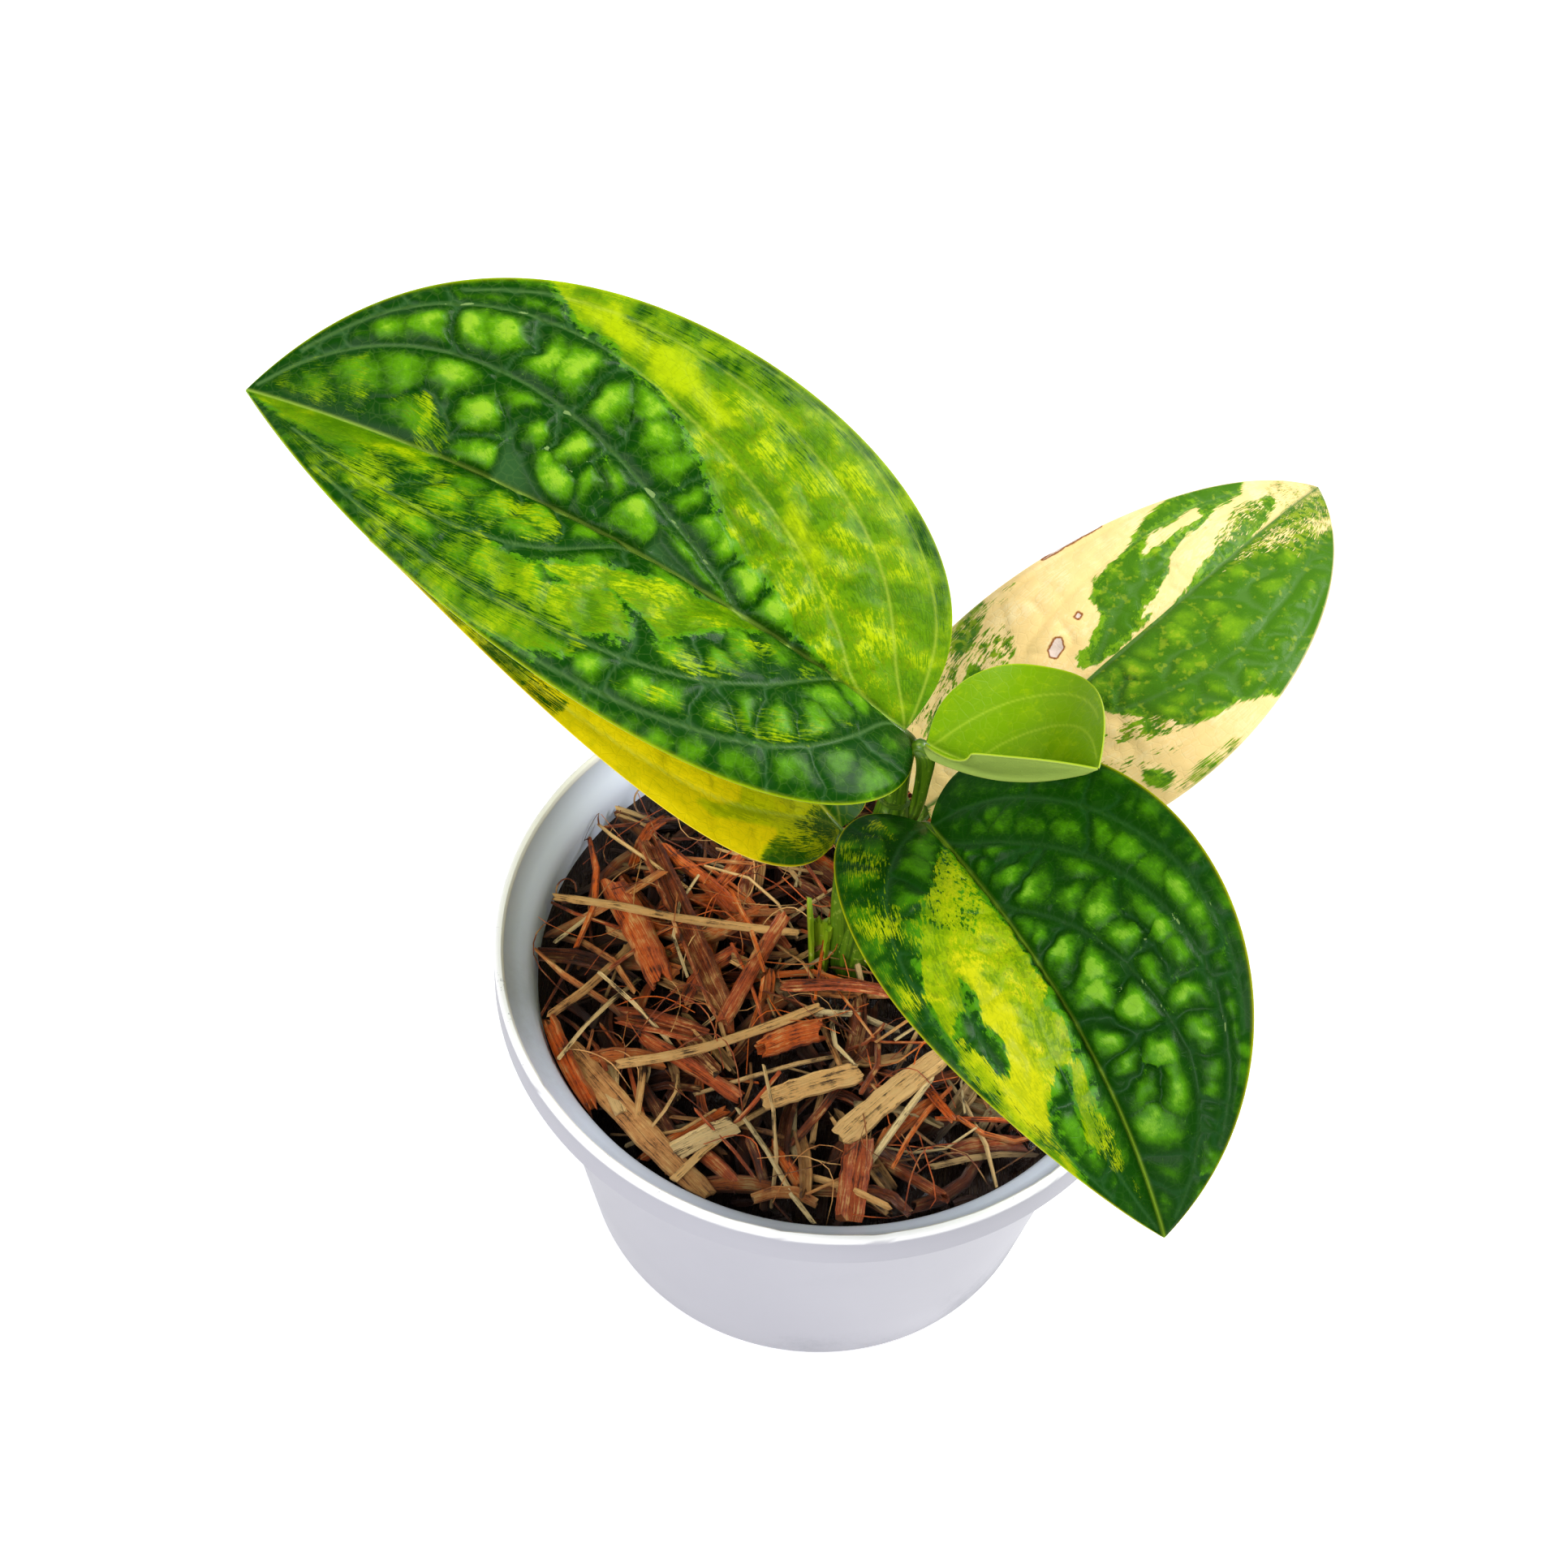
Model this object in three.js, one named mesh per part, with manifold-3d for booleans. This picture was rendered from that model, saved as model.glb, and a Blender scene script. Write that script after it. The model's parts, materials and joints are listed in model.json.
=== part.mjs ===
// A variegated Monstera karstenianum with five leaves, planted in a plain white nursery pan.
// Millimetres, +Z up. The origin is the centre of the pan's flat underside, and -Y is the front.
import * as THREE from 'three';
import { mergeVertices } from 'three/addons/utils/BufferGeometryUtils.js';
import Module from 'manifold-3d';

const wasm = await Module();
wasm.setup();

// Driving dimensions
const SEAT = 0.3;                 // clearance between two pieces that touch
const POT = {
  height: 96, segments: 50, wall: 1.6, floor: 2.2,
  baseRadius: 56.2, neckRadius: 68.2, neckHeight: 86.5,
  rimRadius: 75, mouthRadius: 72.9, collarDrop: 9, collarFlare: 0.4,
};
const DRAIN = { count: 8, ringRadius: 40, radius: 4, sides: 12 };
const MIX = { surface: 83.5, crown: 1, edgeDrop: 3, headroom: 93, seed: 71, chips: 48 };
const BLADE = { thickness: 0.9, keel: 1.6, keelHalfWidth: 1.8, baseHalfWidth: 2.4, midribSpread: 1.35 };
const STALK_SIDES = 8;

// Each colour is the piece's own, before light and shade
const LOOK = {
  pot: { color: 0xdfe3ee, roughness: 0.42, metalness: 0 },
  mix: { color: 0x6b3a22, roughness: 0.9, metalness: 0 },
  stem: { color: 0x6f9a26, roughness: 0.45, metalness: 0 },
  stub: { color: 0x9dbb33, roughness: 0.5, metalness: 0 },
  greenLeaf: { color: 0x2f7a1d, roughness: 0.35, metalness: 0 },
  yellowLeaf: { color: 0xc9c41a, roughness: 0.35, metalness: 0 },
  creamLeaf: { color: 0xe2c78d, roughness: 0.4, metalness: 0 },
  limeLeaf: { color: 0x8fbf12, roughness: 0.35, metalness: 0 },
};

// The stem leans up from the middle of the pan; each row is a point and the radius there
const STEM = [
  [4.4, 3.2, 60, 4], [5, 4.2, 84, 4.8], [7.3, 8.2, 104, 4.4], [9.6, 12.2, 122, 4.1], [10.5, 14, 130, 3.4],
];

// What is left of a leaf stalk that was cut off: a channel with torn edges
const STUB = {
  foot: [-2.2, -0.2, 72], top: [-3.4, 5.4, 103.5],
  outerRadius: 2.7, innerRadius: 1.8, notch: 3.4,
};

// Leaves. A blade hangs on a chord from base to tip: arch lifts its midrib off the chord, sickle bends
// it sideways, roll and twist turn it. Each half has a width, an upward fold in degrees, a camber that
// curls it down, a lobe behind the base, and gather, which moves the widest place towards the tip.
const LEAVES = {
  leaf_large: {
    look: 'greenLeaf', base: [11.2, 17.2, 150], tip: [-131.3, 56.2, 193],
    arch: 8.9, sickle: 1, roll: -7.9, twist: 6.1, skew: 0.2, fullness: 7.8, lobeDecay: 4.5,
    left: { width: 43.6, fold: 23.9, camber: 21.6, lobe: 18.1, gather: 1.55 },
    right: { width: 55.2, fold: 33.2, camber: 7.5, lobe: 5, gather: 1.16 },
    grid: { strips: 3, domes: 9, split: 3 }, relief: 2,
    stalk: [[10.4, 13.8, 125, 2.6], [11.0, 15.4, 136, 2.3], [11.8, 16.8, 144.5, 2.0]],
  },
  leaf_left: {
    look: 'yellowLeaf', base: [-0.4, 11.1, 122], tip: [-115.5, 74.7, 130.6],
    arch: 17.5, sickle: 0.2, roll: -12.5, twist: -0.8, skew: 0.06, fullness: 3.9, lobeDecay: 4.1,
    left: { width: 35.4, fold: 16.1, camber: 10.7, lobe: 6.3, gather: 1.53 },
    right: { width: 31, fold: 14.2, camber: 8.3, lobe: 4.5, gather: 1.14 },
    grid: { strips: 3, domes: 9, split: 2 }, relief: 1.1,
    stalk: [
      [3.2, 3.4, 74, 2.7], [2.3, 3.6, 86, 2.7], [1.4, 5.4, 98, 2.4], [1, 8, 109, 2.1], [0.9, 9.9, 116, 1.9],
    ],
  },
  leaf_right: {
    look: 'creamLeaf', base: [18.3, 26.6, 112], tip: [106.1, 119.9, 130.4],
    arch: 17.2, sickle: 7.5, roll: -2.6, twist: -3.7, skew: 0.6, fullness: 2.2, lobeDecay: 4,
    left: { width: 32.8, fold: 16.5, camber: 9.4, lobe: 8.1, gather: 1.47 },
    right: { width: 35.4, fold: 13, camber: 8, lobe: 7.8, gather: 1.06 },
    grid: { strips: 3, domes: 9, split: 2 }, relief: 1,
    stalk: [[7.2, 8.0, 98, 2.3], [10.4, 13.4, 102.5, 2.1], [14.4, 20.6, 107, 1.9]],
  },
  leaf_front: {
    look: 'greenLeaf', base: [18.4, 9.5, 128], tip: [71.9, -72.3, 107.4],
    arch: 15.9, sickle: 0.1, roll: -0.9, twist: -4.9, skew: 0.5, fullness: 3.3, lobeDecay: 4.3,
    left: { width: 42.5, fold: 33.2, camber: 3.3, lobe: 29.7, gather: 1.01 },
    right: { width: 36.2, fold: 28.1, camber: 13.1, lobe: 24.3, gather: 1.41 },
    grid: { strips: 3, domes: 7, split: 3 }, relief: 1.8,
    stalk: [[8.4, 9.6, 111, 2.3], [12.0, 9.4, 116.5, 2.1], [15.4, 9.8, 122, 1.9]],
  },
  leaf_young: {
    look: 'limeLeaf', base: [15.7, 11.8, 153], tip: [49.1, -3.5, 169.5],
    arch: -7.5, sickle: -3.7, roll: 7.1, twist: 4.8, skew: -0.7, fullness: 4.9, lobeDecay: 3.7,
    left: { width: 26.9, fold: 25, camber: 0.9, lobe: 4.8, gather: 1.22 },
    right: { width: 20.1, fold: 48.7, camber: 1.2, lobe: 3.4, gather: 1.15 },
    grid: { strips: 1, domes: 5, split: 3 }, relief: 0,
    stalk: [[11.4, 13.6, 117, 1.5], [15.0, 13.6, 127, 1.5], [15.9, 12.8, 139, 1.7], [15.8, 11.6, 148.5, 2.0]],
  },
};

// The pieces of chopped husk that stand out on the mix: two ends, a width, and a section
const KEY_CHIPS = [
  { from: [-44.5, 26.8, 85.5], to: [-21.7, -18.5, 86], width: 6.4, section: 'trough' },
  { from: [-51.6, 15.8, 84.5], to: [-37.2, -9.4, 85], width: 7.2, section: 'stalk' },
  { from: [-64.4, 9.7, 86.5], to: [-36.1, 4.6, 88.6], width: 2.4, section: 'stalk' },
  { from: [-36.1, 4.6, 88.6], to: [-7.7, 6.3, 85], width: 2.4, section: 'stalk' },
  { from: [5.6, -45.6, 87], to: [26.3, -23, 87.5], width: 6, section: 'flake' },
  { from: [-31.8, -54.1, 86], to: [-17.2, -44.6, 86.5], width: 5, section: 'flake' },
  { from: [-55.5, -28.9, 85.5], to: [-21.1, -61.9, 85.5], width: 6, section: 'flake' },
  { from: [9, -64.4, 86.5], to: [10, -46.1, 87], width: 6.5, section: 'flake' },
  { from: [-61.6, -23.4, 86], to: [-49.3, -44.7, 86], width: 6, section: 'flake' },
  { from: [-22.4, -20.1, 87], to: [-11.6, 9.5, 87.5], width: 4, section: 'stalk' },
  { from: [-44, -33.6, 88], to: [-1.4, -14.1, 88.5], width: 3, section: 'stalk' },
  { from: [-11.6, -38.5, 87], to: [8.8, -29.1, 87.5], width: 5, section: 'flake' },
  { from: [-12.9, -25.3, 87], to: [-0.9, -19.3, 87.5], width: 5.5, section: 'stalk' },
  { from: [-45, -19.9, 86], to: [-26.6, -23.1, 86.5], width: 6, section: 'stalk' },
];

const UP = new THREE.Vector3(0, 0, 1);
const vec = (p) => new THREE.Vector3(p[0], p[1], p[2]);

// A closed three.js geometry becomes a solid that can be joined and cut
function toSolid(geometry) {
  const bare = geometry.index ? geometry.clone() : geometry;
  for (const name of ['normal', 'uv']) bare.deleteAttribute(name);
  const merged = mergeVertices(bare, 1e-4);
  return new wasm.Manifold(new wasm.Mesh({
    numProp: 3,
    vertProperties: new Float32Array(merged.attributes.position.array),
    triVerts: new Uint32Array(merged.index.array),
  }));
}

function toMesh(name, solid, look) {
  const result = solid.getMesh();
  const geometry = new THREE.BufferGeometry();
  geometry.setAttribute('position', new THREE.BufferAttribute(result.vertProperties, 3));
  geometry.setIndex(new THREE.BufferAttribute(result.triVerts, 1));
  geometry.computeVertexNormals();
  const mesh = new THREE.Mesh(geometry, new THREE.MeshStandardMaterial(LOOK[look]));
  mesh.name = name;
  return mesh;
}

function joined(solids) {
  return solids.reduce((whole, next) => whole.add(next));
}

// The main body, without loose scraps
function largest(solid) {
  return solid.decompose().reduce((best, next) => (next.volume() > best.volume() ? next : best));
}

// A seeded source of even random numbers
function seededRandom(seed) {
  let state = seed >>> 0;
  return () => {
    state = (state + 0x6d2b79f5) >>> 0;
    let t = Math.imul(state ^ (state >>> 15), 1 | state);
    t = (t + Math.imul(t ^ (t >>> 7), 61 | t)) ^ t;
    return ((t ^ (t >>> 14)) >>> 0) / 4294967296;
  };
}

// A round stalk through rows of x, y, z, radius, closed by a flat end at each side
function stalkSolid(rows, { extra = 0, sides = STALK_SIDES, stepsPerSpan = 3 } = {}) {
  const curve = new THREE.CatmullRomCurve3(rows.map(vec));
  const steps = stepsPerSpan * (rows.length - 1);
  const positions = [];
  const index = [];
  let side = new THREE.Vector3(1, 0, 0);
  for (let i = 0; i <= steps; i += 1) {
    const along = i / steps;
    const tangent = curve.getTangent(along);
    const beyond = { 0: -extra, [steps]: extra }[i] ?? 0;
    const centre = curve.getPoint(along).addScaledVector(tangent, beyond);
    side = side.sub(tangent.clone().multiplyScalar(side.dot(tangent))).normalize();
    const other = tangent.clone().cross(side);
    const span = Math.min(Math.floor(along * (rows.length - 1)), rows.length - 2);
    const within = along * (rows.length - 1) - span;
    const radius = THREE.MathUtils.lerp(rows[span][3], rows[span + 1][3], within) + extra;
    for (let k = 0; k < sides; k += 1) {
      const angle = (2 * Math.PI * k) / sides;
      const point = centre.clone()
        .addScaledVector(side, radius * Math.cos(angle))
        .addScaledVector(other, radius * Math.sin(angle));
      positions.push(point.x, point.y, point.z);
    }
  }
  for (let i = 0; i < steps; i += 1) {
    for (let k = 0; k < sides; k += 1) {
      const next = (k + 1) % sides;
      const [a, b] = [i * sides + k, i * sides + next];
      index.push(a, b, b + sides, a, b + sides, a + sides);
    }
  }
  for (let k = 1; k < sides - 1; k += 1) {
    index.push(0, k + 1, k);
    index.push(steps * sides, steps * sides + k, steps * sides + k + 1);
  }
  const geometry = new THREE.BufferGeometry();
  geometry.setAttribute('position', new THREE.Float32BufferAttribute(positions, 3));
  geometry.setIndex(index);
  return toSolid(geometry);
}

// The pan: a tapered wall that flares into a rim, with a collar that hangs down outside it
function wallRadius(z) {
  return THREE.MathUtils.lerp(POT.baseRadius, POT.neckRadius, z / POT.neckHeight);
}

function lathe(profile) {
  const points = profile.map(([r, z]) => new THREE.Vector2(r, z));
  return toSolid(new THREE.LatheGeometry(points, POT.segments).rotateX(Math.PI / 2));
}

function cavityProfile(clearance) {
  const inner = POT.wall + clearance;
  return [
    [wallRadius(0) - inner - 1.2, POT.floor + clearance],
    [wallRadius(4) - inner, POT.floor + clearance + 1.6],
    [POT.neckRadius - inner, POT.neckHeight],
    [POT.neckRadius + 1.2 - inner, POT.neckHeight + 2.4],
    [POT.mouthRadius - 1.5 - clearance, POT.height - 4.2],
    [POT.mouthRadius - clearance, POT.height - 0.8],
  ];
}

function makePot() {
  const collarFoot = POT.height - POT.collarDrop;
  const skirt = POT.rimRadius - POT.wall;
  const outside = [
    [0, 0], [POT.baseRadius - 2, 0], [POT.baseRadius - 0.5, 0.6], [POT.baseRadius + 0.2, 2],
    [POT.neckRadius, POT.neckHeight], [POT.neckRadius + 2, POT.neckHeight + 2.8],
    [skirt - 1.2, POT.height - 4.4], [skirt + 0.2, POT.height - 4.6], [skirt + 0.4, collarFoot],
    [POT.rimRadius + POT.collarFlare, collarFoot], [POT.rimRadius, POT.height - 0.8],
    [POT.rimRadius - 0.6, POT.height], [POT.mouthRadius + 0.6, POT.height],
  ];
  const inside = cavityProfile(0).reverse();
  const shell = lathe([...outside, ...inside, [0, POT.floor]]);
  const drains = Array.from({ length: DRAIN.count }, (_, k) => {
    const angle = (2 * Math.PI * (k + 0.5)) / DRAIN.count;
    const drill = new THREE.CylinderGeometry(DRAIN.radius, DRAIN.radius, 4 * POT.floor, DRAIN.sides);
    drill.rotateX(Math.PI / 2);
    drill.translate(DRAIN.ringRadius * Math.cos(angle), DRAIN.ringRadius * Math.sin(angle), POT.floor / 2);
    return toSolid(drill);
  });
  return shell.subtract(joined(drains));
}

// Chopped husk: stalks, flat flakes and split troughs, each a prism laid between two points
function chipOutline(section, width) {
  const half = width / 2;
  if (section === 'flake') {
    const shape = new THREE.Shape();
    shape.moveTo(-half, -0.8);
    shape.lineTo(half, -0.8);
    shape.lineTo(half * 0.8, 0.8);
    shape.lineTo(-half * 0.9, 0.7);
    shape.closePath();
    return shape;
  }
  const sides = section === 'trough' ? 8 : 5;
  const corners = section === 'trough' ? sides / 2 + 1 : sides;
  const arc = Array.from({ length: corners }, (_, k) => {
    const angle = (2 * Math.PI * k) / sides;
    return new THREE.Vector2(half * Math.cos(angle), half * Math.sin(angle));
  });
  return new THREE.Shape(arc);
}

function chipSolid({ from, to, width, section }, turn) {
  const start = vec(from);
  const along = vec(to).sub(start);
  const prism = new THREE.ExtrudeGeometry(chipOutline(section, width), {
    depth: along.length(), bevelEnabled: false, steps: 1,
  });
  const z = along.clone().normalize();
  const x = new THREE.Vector3().crossVectors(UP, z).normalize();
  const y = new THREE.Vector3().crossVectors(z, x);
  prism.rotateZ(turn);
  prism.applyMatrix4(new THREE.Matrix4().makeBasis(x, y, z).setPosition(start));
  return toSolid(prism);
}

function scatteredChips() {
  const random = seededRandom(MIX.seed);
  const between = (low, high) => low + (high - low) * random();
  const reach = POT.neckRadius - POT.wall - 4;
  return Array.from({ length: MIX.chips }, (_, k) => {
    const radius = reach * Math.sqrt((k + 0.5) / MIX.chips);
    const place = k * Math.PI * (3 - Math.sqrt(5)) + between(-0.3, 0.3);
    const heading = between(0, Math.PI);
    const half = between(10, 19);
    const tilt = between(-1.8, 1.8);
    const height = MIX.surface + between(0.6, 3) - (radius > 0.85 * reach ? 1.5 : 0);
    const [x, y] = [radius * Math.cos(place), radius * Math.sin(place)];
    const [dx, dy] = [half * Math.cos(heading), half * Math.sin(heading)];
    const section = random() < 0.55 ? 'flake' : 'stalk';
    const width = section === 'flake' ? between(5, 9) : between(3.4, 5.4);
    const from = [x - dx, y - dy, height - tilt];
    const to = [x + dx, y + dy, height + tilt];
    return chipSolid({ from, to, width, section }, between(-0.5, 0.5));
  });
}

function makeMix(planted) {
  const cavity = cavityProfile(SEAT);
  const bodyEdge = MIX.surface - MIX.edgeDrop;
  const edgeRadius = wallRadius(bodyEdge) - POT.wall - SEAT;
  const body = lathe([
    [0, POT.floor + SEAT], ...cavity.slice(0, 2), [edgeRadius, bodyEdge],
    [edgeRadius * 0.84, MIX.surface], [0, MIX.surface + MIX.crown],
  ]);
  const mould = lathe([
    [0, POT.floor + SEAT], ...cavity.slice(0, 4), [cavity[3][0] + 0.8, MIX.headroom], [0, MIX.headroom],
  ]);
  const chips = [...scatteredChips(), ...KEY_CHIPS.map((chip) => chipSolid(chip, 0))];
  const heap = body.add(joined(chips)).intersect(mould).subtract(joined(planted));
  return largest(heap);
}

// A leaf blade as a surface: side is 'left' or 'right', s runs round the margin from base to tip,
// and t runs from the midrib to the margin
class Blade {
  constructor(leaf) {
    Object.assign(this, leaf);
    this.from = vec(leaf.base);
    this.chord = vec(leaf.tip).sub(this.from);
    this.length = this.chord.length();
    this.chord.normalize();
    const side = new THREE.Vector3().crossVectors(this.chord, UP).normalize();
    const up = new THREE.Vector3().crossVectors(side, this.chord);
    const roll = THREE.MathUtils.degToRad(leaf.roll);
    this.across = side.clone().multiplyScalar(Math.cos(roll)).addScaledVector(up, Math.sin(roll));
    this.above = side.clone().multiplyScalar(-Math.sin(roll)).addScaledVector(up, Math.cos(roll));
    this.peak = { left: this.widest('left'), right: this.widest('right') };
  }

  midrib(q) {
    const inside = Math.max(q, 0);
    const behind = Math.min(q, 0);
    const bend = 4 * inside * (1 - inside);
    const lift = this.arch * (bend * (1 + this.skew * (inside - 0.5)) + behind * 4 * (1 - this.skew / 2));
    const drift = this.sickle * (bend + behind * 4);
    return this.from.clone()
      .addScaledVector(this.chord, this.length * q)
      .addScaledVector(this.above, lift)
      .addScaledVector(this.across, drift);
  }

  frame(q) {
    const at = THREE.MathUtils.clamp(q, 0, 1);
    const tangent = this.midrib(at + 1e-3).sub(this.midrib(at)).normalize();
    const side = this.across.clone().addScaledVector(tangent, -tangent.dot(this.across)).normalize();
    const normal = new THREE.Vector3().crossVectors(side, tangent);
    const twist = THREE.MathUtils.degToRad(this.twist) * at;
    return {
      side: side.clone().multiplyScalar(Math.cos(twist)).addScaledVector(normal, Math.sin(twist)),
      normal: normal.clone().multiplyScalar(Math.cos(twist)).addScaledVector(side, -Math.sin(twist)),
    };
  }

  halfWidth(half, s) {
    const angle = Math.PI * s;
    const forward = ((1 - Math.cos(angle)) / 2) ** half.gather;
    return Math.sin(angle) * Math.sqrt(Math.max(0, 1 - forward ** this.fullness));
  }

  widest(name) {
    return Math.max(...Array.from({ length: 201 }, (_, k) => this.halfWidth(this[name], k / 200)));
  }

  margin(name, s) {
    const half = this[name];
    const angle = Math.PI * s;
    const endFade = (1 - s) ** 6;
    const lobe = Math.sin(angle) * (1 - s) ** this.lobeDecay + (BLADE.baseHalfWidth / half.width) * endFade;
    return {
      q: ((1 - Math.cos(angle)) / 2) ** half.gather - (half.lobe / this.length) * lobe,
      y: (half.width * this.halfWidth(half, s)) / this.peak[name] + BLADE.baseHalfWidth * endFade,
    };
  }

  point(name, s, t) {
    const half = this[name];
    const edge = this.margin(name, s);
    const ribPlace = s ** BLADE.midribSpread;
    const q = ribPlace + (edge.q - ribPlace) * t;
    const y = edge.y * t;
    const { side, normal } = this.frame(q);
    const fold = THREE.MathUtils.degToRad(half.fold);
    const outward = name === 'right' ? 1 : -1;
    return this.midrib(q)
      .addScaledVector(side, outward * Math.cos(fold) * y)
      .addScaledVector(normal, Math.sin(fold) * y - half.camber * (y / half.width) ** 2);
  }

  normal(name, s, t) {
    const step = 2e-3;
    const rib = this.frame(THREE.MathUtils.clamp(s ** BLADE.midribSpread, 0, 1)).normal;
    if (t < 1e-6 || s > 0.999) return rib;
    const at = THREE.MathUtils.clamp(s, 0.02, 0.97);
    const inward = THREE.MathUtils.clamp(t, 0.05, 1);
    const along = this.point(name, at + step, inward).sub(this.point(name, at - step, inward));
    const across = this.point(name, at, inward).sub(this.point(name, at, inward - step));
    const normal = new THREE.Vector3().crossVectors(across, along).normalize();
    return name === 'right' ? normal : normal.negate();
  }

  // The relief fades where the blade narrows
  fullAt(s) {
    const widest = Math.max(this.left.width, this.right.width);
    return Math.min(1, (1.3 * Math.min(this.margin('left', s).y, this.margin('right', s).y)) / widest);
  }

  // Domes between the side veins and the cross veins
  quilt(s, t) {
    const strip = Math.min(Math.floor(t * this.grid.strips), this.grid.strips - 1);
    const across = Math.sin(Math.PI * (t * this.grid.strips - strip));
    const shift = strip % 2 === 1 ? 1 / this.grid.split : 0;
    const along = Math.sin(Math.PI * (s * this.grid.domes + shift));
    return this.relief * (across * along) ** 2 * this.fullAt(s);
  }

  keel(s) {
    return BLADE.keel * THREE.MathUtils.smoothstep(s, 0, 0.1) * (1 - s) ** 0.7;
  }

  columns(name, s) {
    const even = this.grid.strips * this.grid.split;
    const beside = THREE.MathUtils.clamp(BLADE.keelHalfWidth / this.margin(name, s).y, 0.03, 0.6 / even);
    return [beside, ...Array.from({ length: even }, (_, k) => (k + 1) / even)];
  }

  // One row of points across both halves, margin to margin, with its points on the underside
  row(s) {
    const half = (name) => this.columns(name, s).map((t) => {
      const normal = this.normal(name, s, t);
      const lift = t < 0.6 / (this.grid.strips * this.grid.split) + 1e-6 ? 0 : this.quilt(s, t);
      const top = this.point(name, s, t).addScaledVector(normal, lift);
      return { top, under: top.clone().addScaledVector(normal, -BLADE.thickness) };
    });
    const normal = this.normal('right', s, 0);
    const top = this.point('right', s, 0);
    const rib = { top, under: top.clone().addScaledVector(normal, -BLADE.thickness - this.keel(s)) };
    return [...half('left').reverse(), rib, ...half('right')];
  }

  solid() {
    const rows = this.grid.domes * this.grid.split;
    const across = 2 * (this.grid.strips * this.grid.split + 1);
    const middle = across / 2;
    const positions = [];
    const push = (p) => positions.push(p.x, p.y, p.z);
    for (let i = 0; i < rows; i += 1) {
      for (const { top, under } of this.row(i / rows)) {
        push(top);
        push(under);
      }
    }
    const end = this.row(1)[middle];
    push(end.top);
    push(end.under);
    const at = (i, j, face) => (i < rows ? 2 * (i * (across + 1) + j) : 2 * rows * (across + 1)) + face;
    const index = [];
    const both = (a, b, c) => {
      index.push(at(...a, 0), at(...b, 0), at(...c, 0), at(...a, 1), at(...c, 1), at(...b, 1));
    };
    const wall = (a, b) => {
      index.push(at(...a, 0), at(...a, 1), at(...b, 1), at(...a, 0), at(...b, 1), at(...b, 0));
    };
    for (let j = 0; j < across; j += 1) {
      for (let i = 0; i < rows - 1; i += 1) {
        if (j < middle) {
          both([i, j], [i, j + 1], [i + 1, j + 1]);
          both([i, j], [i + 1, j + 1], [i + 1, j]);
        } else {
          both([i, j], [i, j + 1], [i + 1, j]);
          both([i, j + 1], [i + 1, j + 1], [i + 1, j]);
        }
      }
      both([rows - 1, j], [rows - 1, j + 1], [rows, 0]);
      wall([0, j], [0, j + 1]);
    }
    for (let i = 0; i < rows; i += 1) {
      wall([i, across], [i + 1, across]);
      wall([i + 1, 0], [i, 0]);
    }
    const geometry = new THREE.BufferGeometry();
    geometry.setAttribute('position', new THREE.Float32BufferAttribute(positions, 3));
    geometry.setIndex(index);
    return toSolid(geometry);
  }

  // The leaf stalk comes up from the stem and ends sunk under the midrib
  stalkRows() {
    const under = (q, depth, radius) => {
      const point = this.midrib(q).addScaledVector(this.frame(q).normal, -depth);
      return [point.x, point.y, point.z, radius];
    };
    return [...this.stalk, under(-0.012, 2.1, 1.8), under(0.03, 1.9, 1.5), under(0.075, 1.4, 0.8)];
  }
}

// Assembly
const plant = new THREE.Group();
const stem = stalkSolid(STEM);
const stemRoom = stalkSolid(STEM, { extra: SEAT });


function makeStub() {
  const foot = vec(STUB.foot);
  const along = vec(STUB.top).sub(foot);
  const open = (STUB.outerRadius - STUB.innerRadius) * 0.8;
  const lip = Math.asin(open / STUB.outerRadius);
  const shape = new THREE.Shape();
  shape.absarc(0, 0, STUB.outerRadius, Math.PI - lip, lip, false);
  shape.absarc(0, open, STUB.innerRadius, 0, Math.PI, true);
  const channel = new THREE.ExtrudeGeometry(shape, {
    depth: along.length(), bevelEnabled: false, steps: 1, curveSegments: 7,
  });
  const tear = new THREE.BoxGeometry(STUB.notch, 20, STUB.notch).rotateY(Math.PI / 4);
  tear.translate(0, 0, along.length() + 0.2);
  const z = along.clone().normalize();
  const x = new THREE.Vector3().crossVectors(UP, z).normalize();
  const y = new THREE.Vector3().crossVectors(z, x);
  const place = new THREE.Matrix4().makeBasis(x, y, z).setPosition(foot);
  return toSolid(channel.applyMatrix4(place)).subtract(toSolid(tear.applyMatrix4(place)));
}

const lowStalkRoom = stalkSolid(new Blade(LEAVES.leaf_left).stalkRows(), { extra: SEAT });
const stub = makeStub().subtract(stemRoom).subtract(lowStalkRoom);
const stubRows = [[...STUB.foot, STUB.outerRadius], [...STUB.top, STUB.outerRadius]];
const stubRoom = stalkSolid(stubRows, { extra: SEAT, sides: 2 * STALK_SIDES });

plant.add(toMesh('pot', makePot(), 'pot'));
plant.add(toMesh('potting_mix', makeMix([stemRoom, lowStalkRoom, stubRoom]), 'mix'));
plant.add(toMesh('stem', stem, 'stem'));
plant.add(toMesh('cut_stalk', stub, 'stub'));
for (const [name, sizes] of Object.entries(LEAVES)) {
  const blade = new Blade(sizes);
  const leaf = blade.solid().add(stalkSolid(blade.stalkRows())).subtract(stemRoom);
  plant.add(toMesh(name, leaf, blade.look));
}

export default plant;
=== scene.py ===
"""Dresses the potted plant: quilted, variegated leaves, a short stem and chopped husk in a white pan.

Lengths are in millimetres until a mesh is made, and in the frame's metres after that.
"""

import json
import logging
import math
from dataclasses import dataclass
from enum import Enum

import bmesh
import bpy
import numpy as np
from mathutils import Matrix, Vector

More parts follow.
